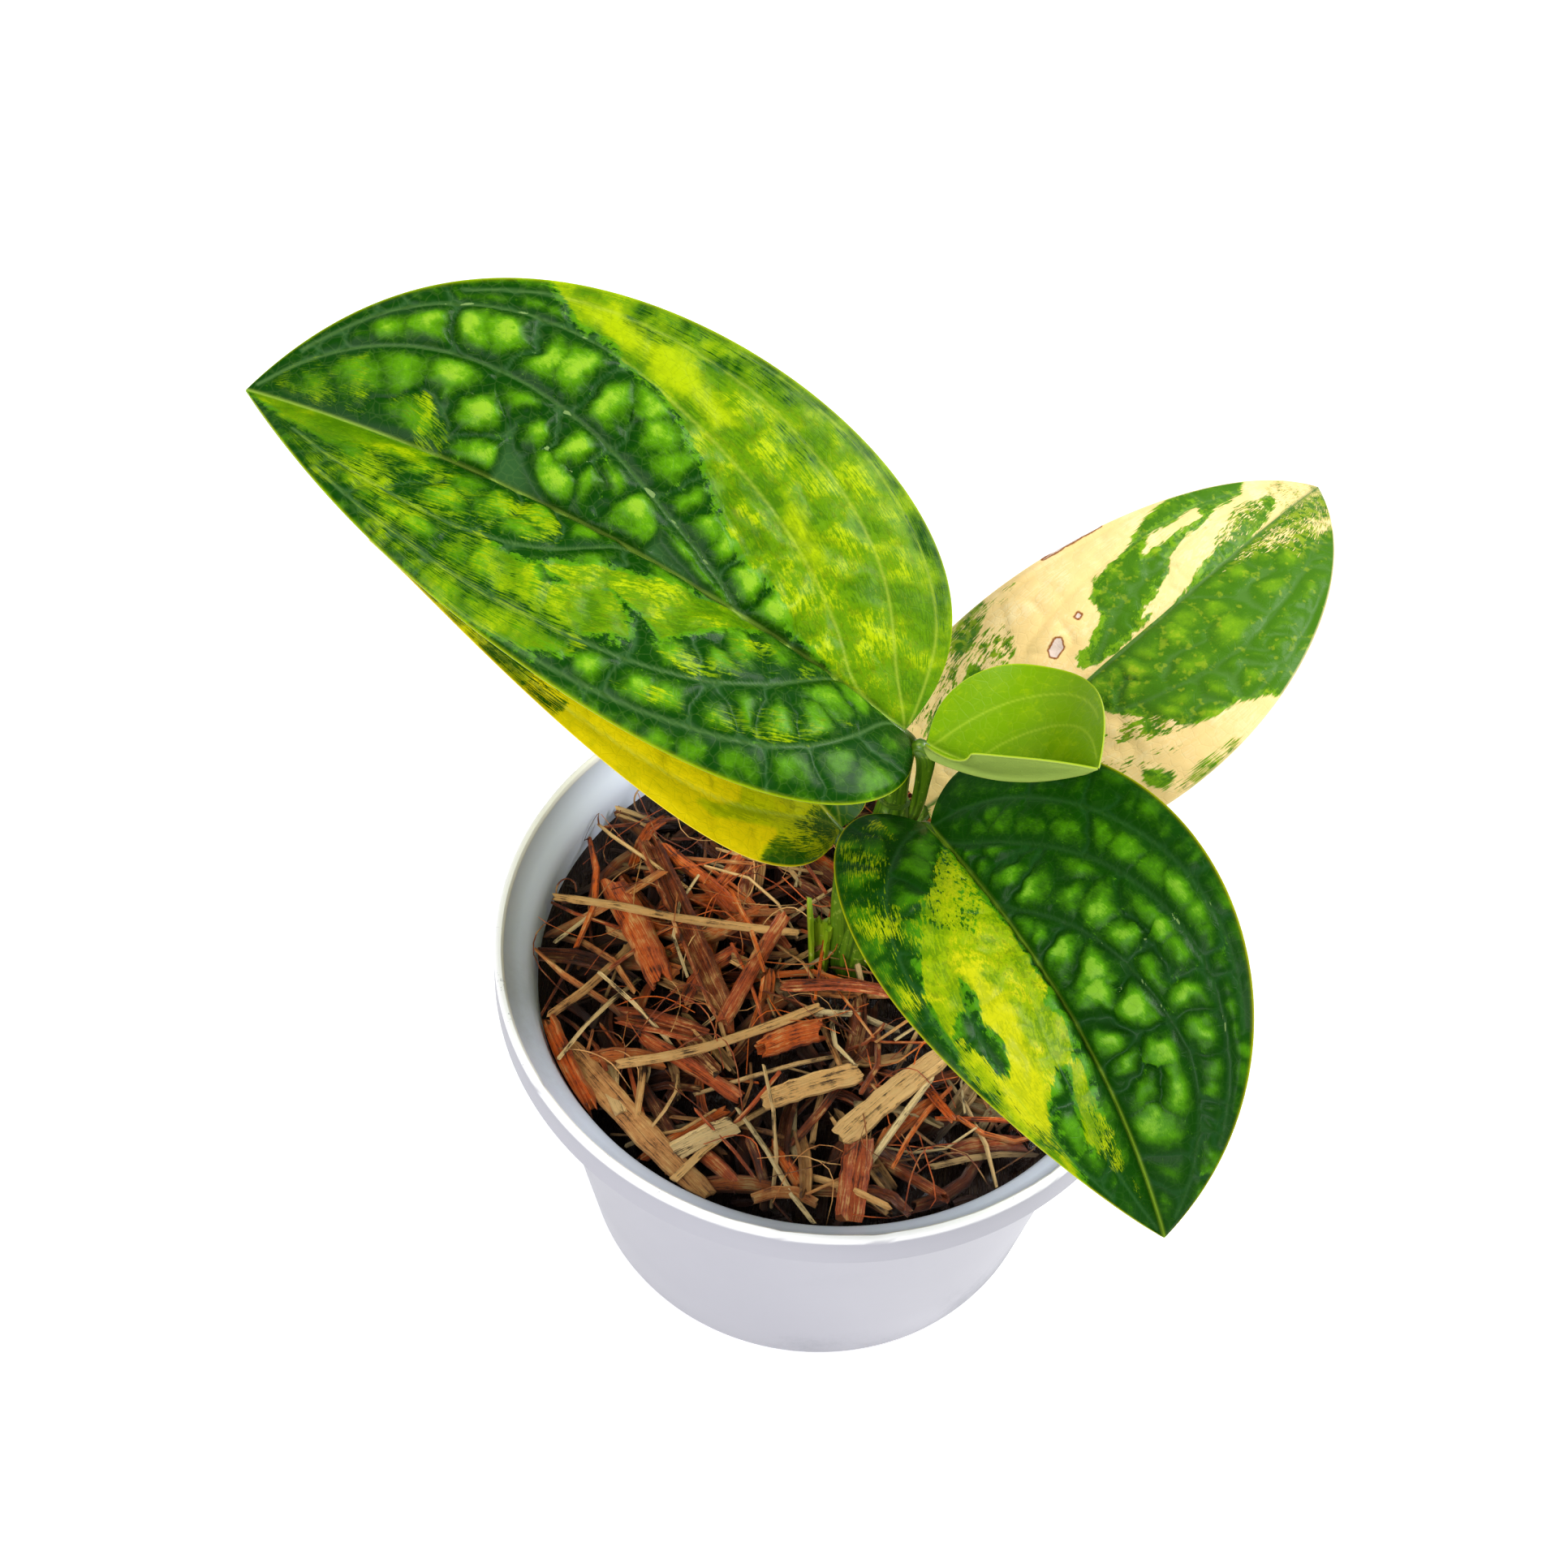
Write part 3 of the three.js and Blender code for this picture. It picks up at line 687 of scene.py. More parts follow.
@dataclass(frozen=True)
class Leaf:
    """A blade hung on its midrib, with a stalk that ends under it."""

    name: str
    finish: LeafFinish
    base: Spot
    tip: Spot
    arch: float
    sickle: float
    roll: float
    twist: float
    skew: float
    fullness: float
    lobe_decay: float
    left: Half
    right: Half
    stalk: tuple[Row, ...]
    seed: int
    rows: int = 260
    columns: int = 60
    valley: float = 0.9
    bulge: float = 3.3
    THICK = 0.9
    EDGE_THICK = 0.4
    KEEL = 1.4
    FOOT = 2.4
    SPREAD = 1.35
    UNDER_STEP = 5
    VEIN_STEPS = 8
    VEIN_SHARE = 0.008
    VEIN_WIDTHS = (0.22, 0.34)
    MIDRIB_WIDTH = 0.42
    NO_SCAR = -5.0
    NO_GOLD = -14.0
    STALK_ENDS = ((-0.012, 2.1, 1.8), (0.03, 1.9, 1.5), (0.075, 1.4, 0.8))

    def axes(self) -> tuple[np.ndarray, np.ndarray, np.ndarray, float]:
        """Lays out the blade between its base and its tip.

        Returns:
            The chord, the way across, the way above, and the chord's length.
        """
        chord = np.array(self.tip) - np.array(self.base)
        length = float(np.linalg.norm(chord))
        chord = chord / length
        side = unit(np.cross(chord, [0, 0, 1.0]))
        up = np.cross(side, chord)
        cos, sin = math.cos(math.radians(self.roll)), math.sin(math.radians(self.roll))
        return chord, cos * side + sin * up, cos * up - sin * side, length

    def midrib(self, q: np.ndarray) -> np.ndarray:
        """Places points of the midrib.

        Args:
            q: the share of the chord, 0 at the base and 1 at the tip.

        Returns:
            The points, one a row.
        """
        chord, across, above, length = self.axes()
        q = np.asarray(q, float)[..., None]
        ahead, behind = np.maximum(q, 0), np.minimum(q, 0)
        arch = 4 * ahead * (1 - ahead) * (1 + self.skew * (ahead - 0.5)) + 4 * behind * (1 - self.skew / 2)
        sickle = 4 * ahead * (1 - ahead) + 4 * behind
        line = np.array(self.base) + chord * length * q
        return line + above * self.arch * arch + across * self.sickle * sickle

    def frame(self, q: np.ndarray) -> tuple[np.ndarray, np.ndarray]:
        """Turns the blade's directions along the midrib.

        Args:
            q: the share of the chord.

        Returns:
            The way across and the normal, one a row each.
        """
        _, across, _, _ = self.axes()
        q = np.clip(q, 0, 1)
        tangent = unit(self.midrib(q + 1e-3) - self.midrib(q))
        side = unit(across - tangent * (tangent @ across)[..., None])
        normal = np.cross(side, tangent)
        turn = np.radians(self.twist * q)[..., None]
        return np.cos(turn) * side + np.sin(turn) * normal, np.cos(turn) * normal - np.sin(turn) * side

    def reach(self, half: Half, s: np.ndarray) -> tuple[np.ndarray, np.ndarray]:
        """Gives the bare outline's place along the midrib and its width, before it is scaled."""
        forward = ((1 - np.cos(math.pi * s)) / 2) ** half.gather
        return forward, np.sin(math.pi * s) * np.sqrt(np.clip(1 - forward**self.fullness, 0, 1))

    def margin(self, half: Half, s: np.ndarray) -> tuple[np.ndarray, np.ndarray]:
        """Gives the margin's place along the midrib, and its distance from it.

        Args:
            half: the half of the blade.
            s: the place along the margin, from base to tip.

        Returns:
            The share of the chord, and the distance in millimetres.
        """
        forward, wide = self.reach(half, s)
        peak = self.reach(half, np.linspace(0, 1, 400))[1].max()
        foot = (1 - s) ** 6
        pull = np.sin(math.pi * s) * (1 - s) ** self.lobe_decay + self.FOOT / half.width * foot
        return forward - half.lobe / self.axes()[3] * pull, half.width * wide / peak + self.FOOT * foot

    def flat(self, half: Half, s: np.ndarray, t: np.ndarray) -> np.ndarray:
        """Lays points of the blade flat.

        Args:
            half: the half of the blade.
            s: the place along the margin.
            t: the place between the midrib and the margin.

        Returns:
            Millimetres along the midrib and away from it.
        """
        edge, wide = self.margin(half, s)
        along = s**self.SPREAD
        return np.stack([(along + (edge - along) * t) * self.axes()[3], wide * t], -1)

    def surface(self, half: Half, sign: float, s: np.ndarray, t: np.ndarray) -> np.ndarray:
        """Gives points of the smooth blade.

        Args:
            half: the half of the blade.
            sign: 1 for the right half, -1 for the left.
            s: the place along the margin.
            t: the place between the midrib and the margin.

        Returns:
            The points.
        """
        u, v = np.moveaxis(self.flat(half, s, t), -1, 0)
        q = u / self.axes()[3]
        side, normal = self.frame(q)
        fold = math.radians(half.fold)
        lift = math.sin(fold) * v - half.camber * (v / half.width) ** 2
        return self.midrib(q) + side * (sign * math.cos(fold) * v)[..., None] + normal * lift[..., None]

    def level(self, vein: tuple[Point, ...], s: np.ndarray) -> np.ndarray:
        """Gives how far across a side vein is at each place along: 0 before it leaves the midrib."""
        rows = flow(vein, self.VEIN_STEPS)
        return np.interp(s, rows[:, 0], rows[:, 1], left=0.0, right=1.1)

    def strip_of(self, half: Half, s: np.ndarray, t: np.ndarray) -> np.ndarray:
        """Counts the side veins between the midrib and each point."""
        return sum((self.level(vein, s) < t).astype(int) for vein in half.veins) + np.zeros(len(s), int)

    def dome_seeds(self, half: Half, strip: int, draw: np.random.Generator) -> np.ndarray:
        """Places the middles of the domes in one strip between two side veins.

        Args:
            half: the half of the blade.
            strip: the strip's number, from the midrib outwards.
            draw: the seeded draws.

        Returns:
            Their flat places, one a row.
        """
        s = np.linspace(0.03, 0.97, 400)
        inner = self.level(half.veins[strip - 1], s) if strip else np.zeros_like(s)
        outer = self.level(half.veins[strip], s) if strip < len(half.veins) else np.ones_like(s)
        low, high = self.flat(half, s, np.clip(inner, 0, 1)), self.flat(half, s, np.clip(outer, 0, 1))
        wide = np.linalg.norm(high - low, axis=1)
        chosen = [(np.array([s0]), np.array([t0])) for s0, t0 in half.domes]
        fixed = [self.flat(half, *spot)[0] for spot in chosen if self.strip_of(half, *spot)[0] == strip]
        found, gone, row = list(fixed), FAR, 0
        middle = (low + high) / 2
        for i in range(1, len(s)):
            gone += float(np.linalg.norm(middle[i] - middle[i - 1]))
            step = half.pitch * float(np.clip(wide[i] * 0.85, 4.5, 9.0))
            if wide[i] < 2.5 or gone < step:
                continue
            gone, row = draw.uniform(-1.2, 1.2), row + 1
            shares = (0.5,) if wide[i] < 13 * half.pitch else ((0.27, 0.75) if row % 2 else (0.4,))
            for share in shares:
                spot = low[i] + (high[i] - low[i]) * (share + draw.uniform(-0.09, 0.09))
                if all(np.linalg.norm(spot - f) > 0.8 * step for f in fixed):
                    found.append(spot)
        return np.array(found) if found else np.zeros((0, 2))

    def side_veins(self, half: Half, at: np.ndarray) -> tuple[np.ndarray, np.ndarray]:
        """Traces the side veins.

        Args:
            half: the half of the blade.
            at: flat points, one a row.

        Returns:
            The strength of the veins, and the distance to the nearest vein.
        """
        vein, near = np.zeros(len(at)), at[:, 1] + 0.2
        width = np.clip(self.VEIN_SHARE * half.width, *self.VEIN_WIDTHS)
        for curve in half.veins:
            rows = flow(curve, self.VEIN_STEPS)
            far = distance(at, self.flat(half, rows[:, 0], rows[:, 1]))
            vein, near = np.maximum(vein, bell(far, width)), np.minimum(near, far)
        return vein, near

    def cells(self, half: Half, s: np.ndarray, t: np.ndarray, seed: int) -> tuple[np.ndarray, ...]:
        """Shares each strip between two side veins out among its domes.

        Args:
            half: the half of the blade.
            s: the place along the margin.
            t: the place between the midrib and the margin.
            seed: the seed of the unplaced domes.

        Returns:
            The distance to the domes' walls, each cell's height, the bell round each middle that shapes the
            top and the painted highlight, and the strip's swell.
        """
        draw = np.random.default_rng(seed)
        warped = self.flat(half, s, t)
        for size, wave, step in ((0.9, 14, 0), (0.35, 5, 7)):
            at = self.flat(half, s, t)
            warped = warped + size * np.stack([ripple(at, wave, seed + step + i) for i in (0, 1)], 1)
        count = len(s)
        wall, force, lobe, swell = np.full(count, 9.0), np.ones(count), np.full(count, 0.6), np.zeros(count)
        strips = self.strip_of(half, s, t)
        for strip in range(len(half.veins) + 1):
            mask = np.nonzero(strips == strip)[0]
            seeds = self.dome_seeds(half, strip, draw)
            height = draw.uniform(0.75, 1.1, max(len(seeds), 1))
            swell[mask] = half.swell[min(strip, len(half.swell) - 1)]
            if len(seeds) < 2 or not len(mask):
                continue
            gap = np.linalg.norm(warped[mask, None, :] - seeds[None, :, :], axis=2)
            first = gap.argmin(axis=1)
            apart = np.linalg.norm(seeds[:, None, :] - seeds[None, :, :], axis=2)
            pairs = draw.uniform(0, 1, apart.shape)
            merged = 3.2 * rise((pairs + pairs.T) / 2, 0.36, 0.7)
            closer = gap**2 - gap.min(axis=1, keepdims=True) ** 2
            walls = closer / (2 * np.maximum(apart[first], 0.5)) + merged[first]
            walls[np.arange(len(mask)), first] = FAR
            wall[mask] = -np.log(np.exp(-1.3 * walls).sum(axis=1) + 1e-9) / 1.3
            force[mask] = height[first]
            room = np.clip(0.62 * (apart + FAR * np.eye(len(seeds))).min(axis=1), 2.0, 4.6)
            lobe[mask] = bell(gap.min(axis=1), room[first])
        return wall, force, lobe, swell

    def follow(self, outline: tuple[Point, ...]) -> np.ndarray:
        """Divides an outline's long edges, so that they follow the margin's curve.

        Args:
            outline: the corners of the outline.

        Returns:
            More corners, one a row.
        """
        rows = []
        for (s0, t0), (s1, t1) in zip(outline, outline[1:] + outline[:1]):
            part = np.linspace(0, 1, 1 + int(14 * abs(s1 - s0)), endpoint=False)
            rows += [(s0 + (s1 - s0) * p, t0 + (t1 - t0) * p) for p in part]
        return np.clip(np.array(rows), (0, -1), (1, 2))

    def zones(self, half: Half, at: np.ndarray) -> dict[str, np.ndarray]:
        """Measures how deep flat points lie in each kind of tissue.

        Args:
            half: the half of the blade.
            at: flat points, one a row.

        Returns:
            The fields that the finish reads, and how calm the relief stays.
        """
        count = len(at)
        tissue, fleck, calm = np.full(count, half.ground), np.zeros(count), np.ones(count)
        scar, gold = np.full(count, self.NO_SCAR), np.full(count, self.NO_GOLD)
        for kind, outline in half.patches:
            corners = self.follow(outline)
            within = inside(at, self.flat(half, corners[:, 0], corners[:, 1]))
            if kind is Patch.PALE:
                tissue = np.maximum(tissue, within)
            elif kind is Patch.GREEN:
                tissue = np.minimum(tissue, -within)
            elif kind is Patch.FLECKED:
                fleck = np.maximum(fleck, rise(within, -2.5, 2.0))
            elif kind is Patch.SCAR:
                scar = np.maximum(scar, within)
            elif kind is Patch.GOLD:
                gold = np.maximum(gold, within)
            else:
                calm = np.minimum(calm, 1 - rise(within, -1.0, 1.5))
        return {"tissue": tissue, "fleck": fleck, "scar": scar, "gold": gold, "calm": calm}

    def quilt(self, half: Half, s: np.ndarray, t: np.ndarray, seed: int) -> dict[str, np.ndarray]:
        """Works out the relief and the colour fields of a half.

        Args:
            half: the half of the blade.
            s: the place along the margin.
            t: the place between the midrib and the margin.
            seed: the seed of the unplaced domes.

        Returns:
            The relief in millimetres and the numbers that the finish reads.
        """
        at = self.flat(half, s, t)
        vein, near = self.side_veins(half, at)
        wall, force, lobe, swell = self.cells(half, s, t, seed)
        zones = self.zones(half, at)
        calm = zones.pop("calm")
        low = np.maximum(near - self.valley, 0) * 1.15
        deep = -np.log(np.exp(-1.1 * low) + np.exp(-1.1 * np.maximum(wall, 0))) / 1.1
        round_top = 1 - (1 - np.clip((deep + 0.3) / self.bulge, 0, 1)) ** 2
        soft_top = 0.6 * rise(deep, 0.0, 1.5 * self.bulge) + 0.25 * lobe if half.ground < 0 else round_top
        top = 0.8 * round_top + 0.3 * lobe * round_top
        top = top + (soft_top - top) * rise(zones["tissue"], -2.0, 2.0)
        fade = rise(s, 0.02, 0.14) * (1 - rise(s, 0.93, 1.0)) * (1 - rise(t, 0.93, 1.0)) * calm
        ends = np.minimum(1, 1.4 * self.margin(half, s)[1] / half.width)
        height = swell * fade * ends * (top * force + 0.05 * ripple(at, 5, seed + 2))
        height -= 0.45 * bell(at[:, 1], 1.1) * (1 - s)
        height += 0.35 * ripple(at, 38, seed + 3) * rise(t, 0.5, 1.0) * fade
        grown = 1 - half.calm_base * (1 - rise(s, 0.25, 0.62))
        # Painted light: how brightly the finish paints the domes, highest in their middles away from the
        # walls and lowest on the flanks as shade.
        lit = np.clip((deep + 0.2) / self.bulge, 0, 1) * (0.35 + 0.8 * lobe)
        lit = lit * calm * np.clip(0.38 + 0.3 * swell, 0, 1) * force * (0.4 + 0.6 * ends) * grown
        return {
            **zones,
            "relief": height * grown - 0.3 * rise(zones["scar"], -0.3, 0.3),
            "dome": lit,
            # Painted reflection: marks the creases and the calm patches for a painted grey-green sheen.
            "crease": np.maximum(bell(deep, 0.34) * grown, 1 - calm),
            "vein": vein,
            "midrib": bell(at[:, 1], self.MIDRIB_WIDTH) * (1 - 0.3 * s),
        }

    def blade(self) -> Shell:
        """Builds the whole blade: quilted top, a coarser underside with the same relief, and the margin.

        Returns:
            The shell, open only at the very tip.
        """
        cols = self.columns
        along, across = np.linspace(0, 1, self.rows + 1), np.linspace(0, 1, cols + 1) ** 0.96
        s, t = np.meshgrid(along, across, indexing="ij")
        halves = []
        for half, sign, seed in ((self.left, -1.0, self.seed), (self.right, 1.0, self.seed + 50)):
            data = {k: v.reshape(s.shape) for k, v in self.quilt(half, s.ravel(), t.ravel(), seed).items()}
            fan = 0.33 * np.log(1.08 - t) - 0.55 * np.log(1.05 - s) + max(sign, 0) * 2
            data["weave"] = np.stack([fan, s + 0.5 * t], -1) * self.axes()[3]
            data["rim"] = rise(t, 0.985, 0.998)
            data["top"], data["wide"] = self.surface(half, sign, s, t), t
            data["away"] = self.flat(half, s, t)[..., 1]
            halves.append(data)
        whole = {k: np.concatenate([halves[0][k][:, :0:-1], halves[1][k]], axis=1) for k in halves[0]}
        top, wide, away, relief = (whole.pop(k) for k in ("top", "wide", "away", "relief"))
        normal = unit(np.cross(np.gradient(top, axis=1), np.gradient(top, axis=0)))
        normal[-2:] = normal[-3]
        lengthwise = s[:, :1]
        keel = self.KEEL * rise(lengthwise, 0, 0.1) * (1 - lengthwise) ** 0.7 * bell(away, 1.3)
        side_rib = 0.12 * whole["vein"] * (away > 1.5)
        thick = self.EDGE_THICK + (self.THICK - self.EDGE_THICK) * (1 - wide**3)
        thick = thick * (1 - 0.55 * rise(lengthwise, 0.9, 1.0)) + keel + side_rib
        upper = top + normal * relief[..., None]
        lower = upper - normal * thick[..., None]
        picks = sorted({*range(0, 2 * cols, self.UNDER_STEP), 2 * cols, *range(cols - 3, cols + 4)})
        return self.stitch(upper, lower[:, picks], picks, whole)

    def stitch(self, upper: np.ndarray, lower: np.ndarray, picks: list[int], data: dict) -> Shell:
        """Joins the top, the underside, the margin and the foot of a blade.

        Args:
            upper: the grid of the top.
            lower: the grid of the underside.
            picks: the top's columns that the underside keeps.
            data: the grain coordinates ("weave") and the carried numbers on the top's grid.

        Returns:
            The shell, open only at the very tip.
        """
        rows, count, kept = len(upper), upper.shape[1], len(picks)
        offset = rows * count
        row = np.arange(rows - 1)
        a = (row[:, None] * count + np.arange(count - 1)).ravel()
        b = (offset + row[:, None] * kept + np.arange(kept - 1)).ravel()
        left, low_left = row * count, offset + row * kept
        right, low_right = left + count - 1, low_left + kept - 1
        faces = []
        for corners in (
            (a, a + 1, a + count + 1, a + count),
            (b, b + kept, b + kept + 1, b + 1),
            (left, left + count, low_left + kept, low_left),
            (right, low_right, low_right + kept, right + count),
        ):
            faces += np.stack(corners, 1).tolist()
        faces.append([*range(count - 1, -1, -1), *range(offset, offset + kept)])
        weave = data.pop("weave")
        carried = {k: np.concatenate([v.ravel(), v[:, picks].ravel()]) for k, v in data.items()}
        carried["under"] = np.repeat([0.0, 1.0], [offset, rows * kept])
        points = np.vstack([upper.reshape(-1, 3), lower.reshape(-1, 3)])
        grain = np.vstack([weave.reshape(-1, 2), weave[:, picks].reshape(-1, 2)])
        return Shell(points, faces, grain, carried)

    def stalk_rows(self) -> np.ndarray:
        """Ends the stalk under the midrib.

        Returns:
            The stalk's path with its radii.
        """
        rows = list(self.stalk)
        for q, depth, radius in self.STALK_ENDS:
            _, normal = self.frame(np.array([q]))
            rows.append((*(self.midrib(np.array([q]))[0] - normal[0] * depth), radius))
        return np.array(rows)

    def make(self, stalk_material: bpy.types.Material) -> None:
        """Builds the blade and its stalk, and hands them to the frame.

        Args:
            stalk_material: the skin that all the stalks share.
        """
        place(self.blade().build(self.name + "_blade", self.finish.material(), 70), self.name)
        tube = Tube(self.stalk_rows(), sides=20, channel=0.22, flute=0.03, seed=self.seed)
        place(tube.shell().build(self.name + "_stalk", stalk_material, 60), self.name)


@dataclass(frozen=True)
class Tube:
    """A closed round sweep along a path of (x, y, z, radius) rows."""

    rows: np.ndarray
    sides: int
    flute: float
    seed: int
    channel: float = 0.0
    steps: int = 9

    def shell(self) -> Shell:
        """Sweeps the section, with a shallow channel on its upper side and fine flutes round it.

        Returns:
            The closed shell.
        """
        path = flow(self.rows, self.steps)
        centre, radius = path[:, :3], path[:, 3]
        angle, gone = turns(self.sides), run(centre)
        section = 1 - self.channel * bell(angle - 1.5 * math.pi, 0.55) + self.flute * np.cos(5 * angle + 1.0)
        side, rings, grain = np.array([1.0, 0, 0]), [], []
        for point, ahead, size, far in zip(centre, unit(np.gradient(centre, axis=0)), radius, gone):
            side = unit(side - ahead * (side @ ahead))
            around = np.outer(np.cos(angle), side) + np.outer(np.sin(angle), np.cross(ahead, side))
            swell = section + 0.02 * np.sin(far / 3.1 + self.seed)
            rings.append(point + around * (size * swell)[:, None])
            grain.append(np.stack([angle * radius.mean(), np.full(self.sides, far)], 1))
        points = np.vstack(rings + [centre[:1], centre[-1:]])
        weave = np.vstack(grain + [[[0, 0]], [[0, gone[-1]]]])
        return Shell(points, closed_faces(len(centre), self.sides), weave, {})


class ChipForm(Enum):
    """How a chip of husk was cut."""

    TUBE = "tube"
    TROUGH = "trough"
    FLAKE = "flake"
    STICK = "stick"


@dataclass(frozen=True)
class Chip:
    """One chip of chopped husk along a path."""

    form: ChipForm
    path: tuple[Spot, ...]
    width: float
    tint: float
    seed: int
    rings: int
    sides: int
    rag: float

    def section(self) -> np.ndarray:
        """Draws the outline of the section, about 1 wide.

        Returns:
            The corners, across and up.
        """
        if self.form is ChipForm.TROUGH:
            arc = np.linspace(-2.75, -0.39, self.sides)
            outer = np.stack([0.5 * np.cos(arc), 0.5 * np.sin(arc) + 0.25], 1)
            inner = np.stack([0.36 * np.cos(arc[::-1]), 0.36 * np.sin(arc[::-1]) + 0.3], 1)
            return np.vstack([outer, inner])
        if self.form is ChipForm.FLAKE:
            line = np.linspace(-0.5, 0.5, max(self.sides // 2, 3))
            upper = np.stack([line[::-1], 0.1 - 0.35 * line[::-1] ** 2], 1)
            return np.vstack([np.stack([line, -0.05 - 0.35 * line**2], 1), upper])
        angle = turns(self.sides)
        flat = 0.9 if self.form is ChipForm.TUBE else 0.62
        return np.stack([0.5 * np.cos(angle), 0.5 * flat * np.sin(angle)], 1)

    def shell(self) -> Shell:
        """Sweeps the section along the path, with splintered ends; a tube's ends are hollow.

        Returns:
            The closed shell.
        """
        draw = np.random.default_rng(self.seed)
        centre = flow(self.path, max(1, round((self.rings - 1) / (len(self.path) - 1))))
        tangent = unit(np.gradient(centre, axis=0))
        outline = self.section()
        if self.form in (ChipForm.FLAKE, ChipForm.TROUGH):
            outline[:, 1] += draw.uniform(-0.07, 0.07, len(outline))
        sides, last = len(outline), len(centre) - 1
        rag = self.rag * (0.4 if self.form is ChipForm.FLAKE else 1.0)
        splinter = dict(zip((0, last), draw.uniform(-1, 1, (2, sides)) * rag * self.width))
        rim = np.linalg.norm(np.roll(outline, -1, 0) - outline, axis=1).cumsum() * self.width
        twist = draw.uniform(-0.3, 0.3)
        rings = []
        for i, (point, ahead) in enumerate(zip(centre, tangent)):
            side = unit(np.cross(ahead, [0.0, 0.0, 1.0]) + 1e-6)
            cos, sin = math.cos(twist * i / max(last, 1)), math.sin(twist * i / max(last, 1))
            across = outline[:, 0] * cos - outline[:, 1] * sin
            above = outline[:, 0] * sin + outline[:, 1] * cos
            wide = self.width * draw.uniform(0.9, 1.06) * (0.86 if i in splinter else 1)
            ring = point + np.outer(across * wide, side) + np.outer(above * wide, np.cross(side, ahead))
            rings.append(ring + np.outer(splinter[i], ahead) if i in splinter else ring)
        grain = [np.stack([rim, np.full(sides, far)], 1) for far in run(centre)]
        faces = sweep_faces(last + 1, sides)
        for end, inward in ((0, 1.0), (last, -1.0)):
            cap, start = [], end * sides
            if self.form is ChipForm.TUBE:
                middle = rings[end].mean(0)
                spread, first = rings[end] - middle, len(rings) * sides
                depth = tangent[end] * inward * self.width * 0.9
                rings += [middle + spread * 0.72, middle + spread * 0.7 + depth]
                grain += [grain[end], grain[end] + [0, 9]]
                cap = band(start, first, sides) + band(first, first + sides, sides)
                start = first + sides
            cap.append(list(range(start, start + sides)))
            faces += cap if end else [face[::-1] for face in cap]
        points = np.vstack(rings)
        tint = np.full(len(points), self.tint + draw.uniform(-0.04, 0.04))
        return Shell(points, faces, np.vstack(grain), {"tint": tint})


class Growth(Tree):
    """A Geometry Nodes tree with named inputs, whose result is kept as a plain mesh."""

    def __init__(self, name: str, inputs: dict[str, str]) -> None:
        """Opens the tree.

        Args:
            name: the tree's name.
            inputs: the kind of each named input.
        """
        super().__init__(bpy.data.node_groups.new(name, "GeometryNodeTree"))
        face = self.tree.interface
        face.new_socket("Geometry", in_out="OUTPUT", socket_type="NodeSocketGeometry")
        for label, kind in {"Geometry": "Geometry", **inputs, "Finish": "Material"}.items():
            face.new_socket(label, in_out="INPUT", socket_type="NodeSocket" + kind)

    def given(self, name: str) -> Link:
        """Reads one input of the tree."""
        return self.node("NodeGroupInput", {}, {}, name)

    def realize(self, grown: Link) -> Link:
        """Makes instances real."""
        return self.node("GeometryNodeRealizeInstances", {}, {"Geometry": grown})

    def close(self, grown: Link) -> None:
        """Ends the tree in real geometry with its finish.

        Args:
            grown: the geometry so far.
        """
        sockets = {"Geometry": self.realize(grown), "Material": self.given("Finish")}
        done = self.node("GeometryNodeSetMaterial", {}, sockets)
        self.node("NodeGroupOutput", {}, {"Geometry": done}, None)

    def grow(self, piece: bpy.types.Object, values: dict) -> None:
        """Runs the tree on a piece and keeps its result as a plain mesh.

        Args:
            piece: the object that the tree works on.
            values: a value for each named input.
        """
        modifier = piece.modifiers.new("grow", "NODES")
        modifier.node_group = self.tree
        for item in self.tree.interface.items_tree:
            if item.item_type == "SOCKET" and item.in_out == "INPUT" and item.name in values:
                modifier[item.identifier] = values[item.name]
        piece.update_tag()
        result = bpy.data.meshes.new_from_object(piece.evaluated_get(bpy.context.evaluated_depsgraph_get()))
        piece.modifiers.remove(modifier)
        piece.data = result


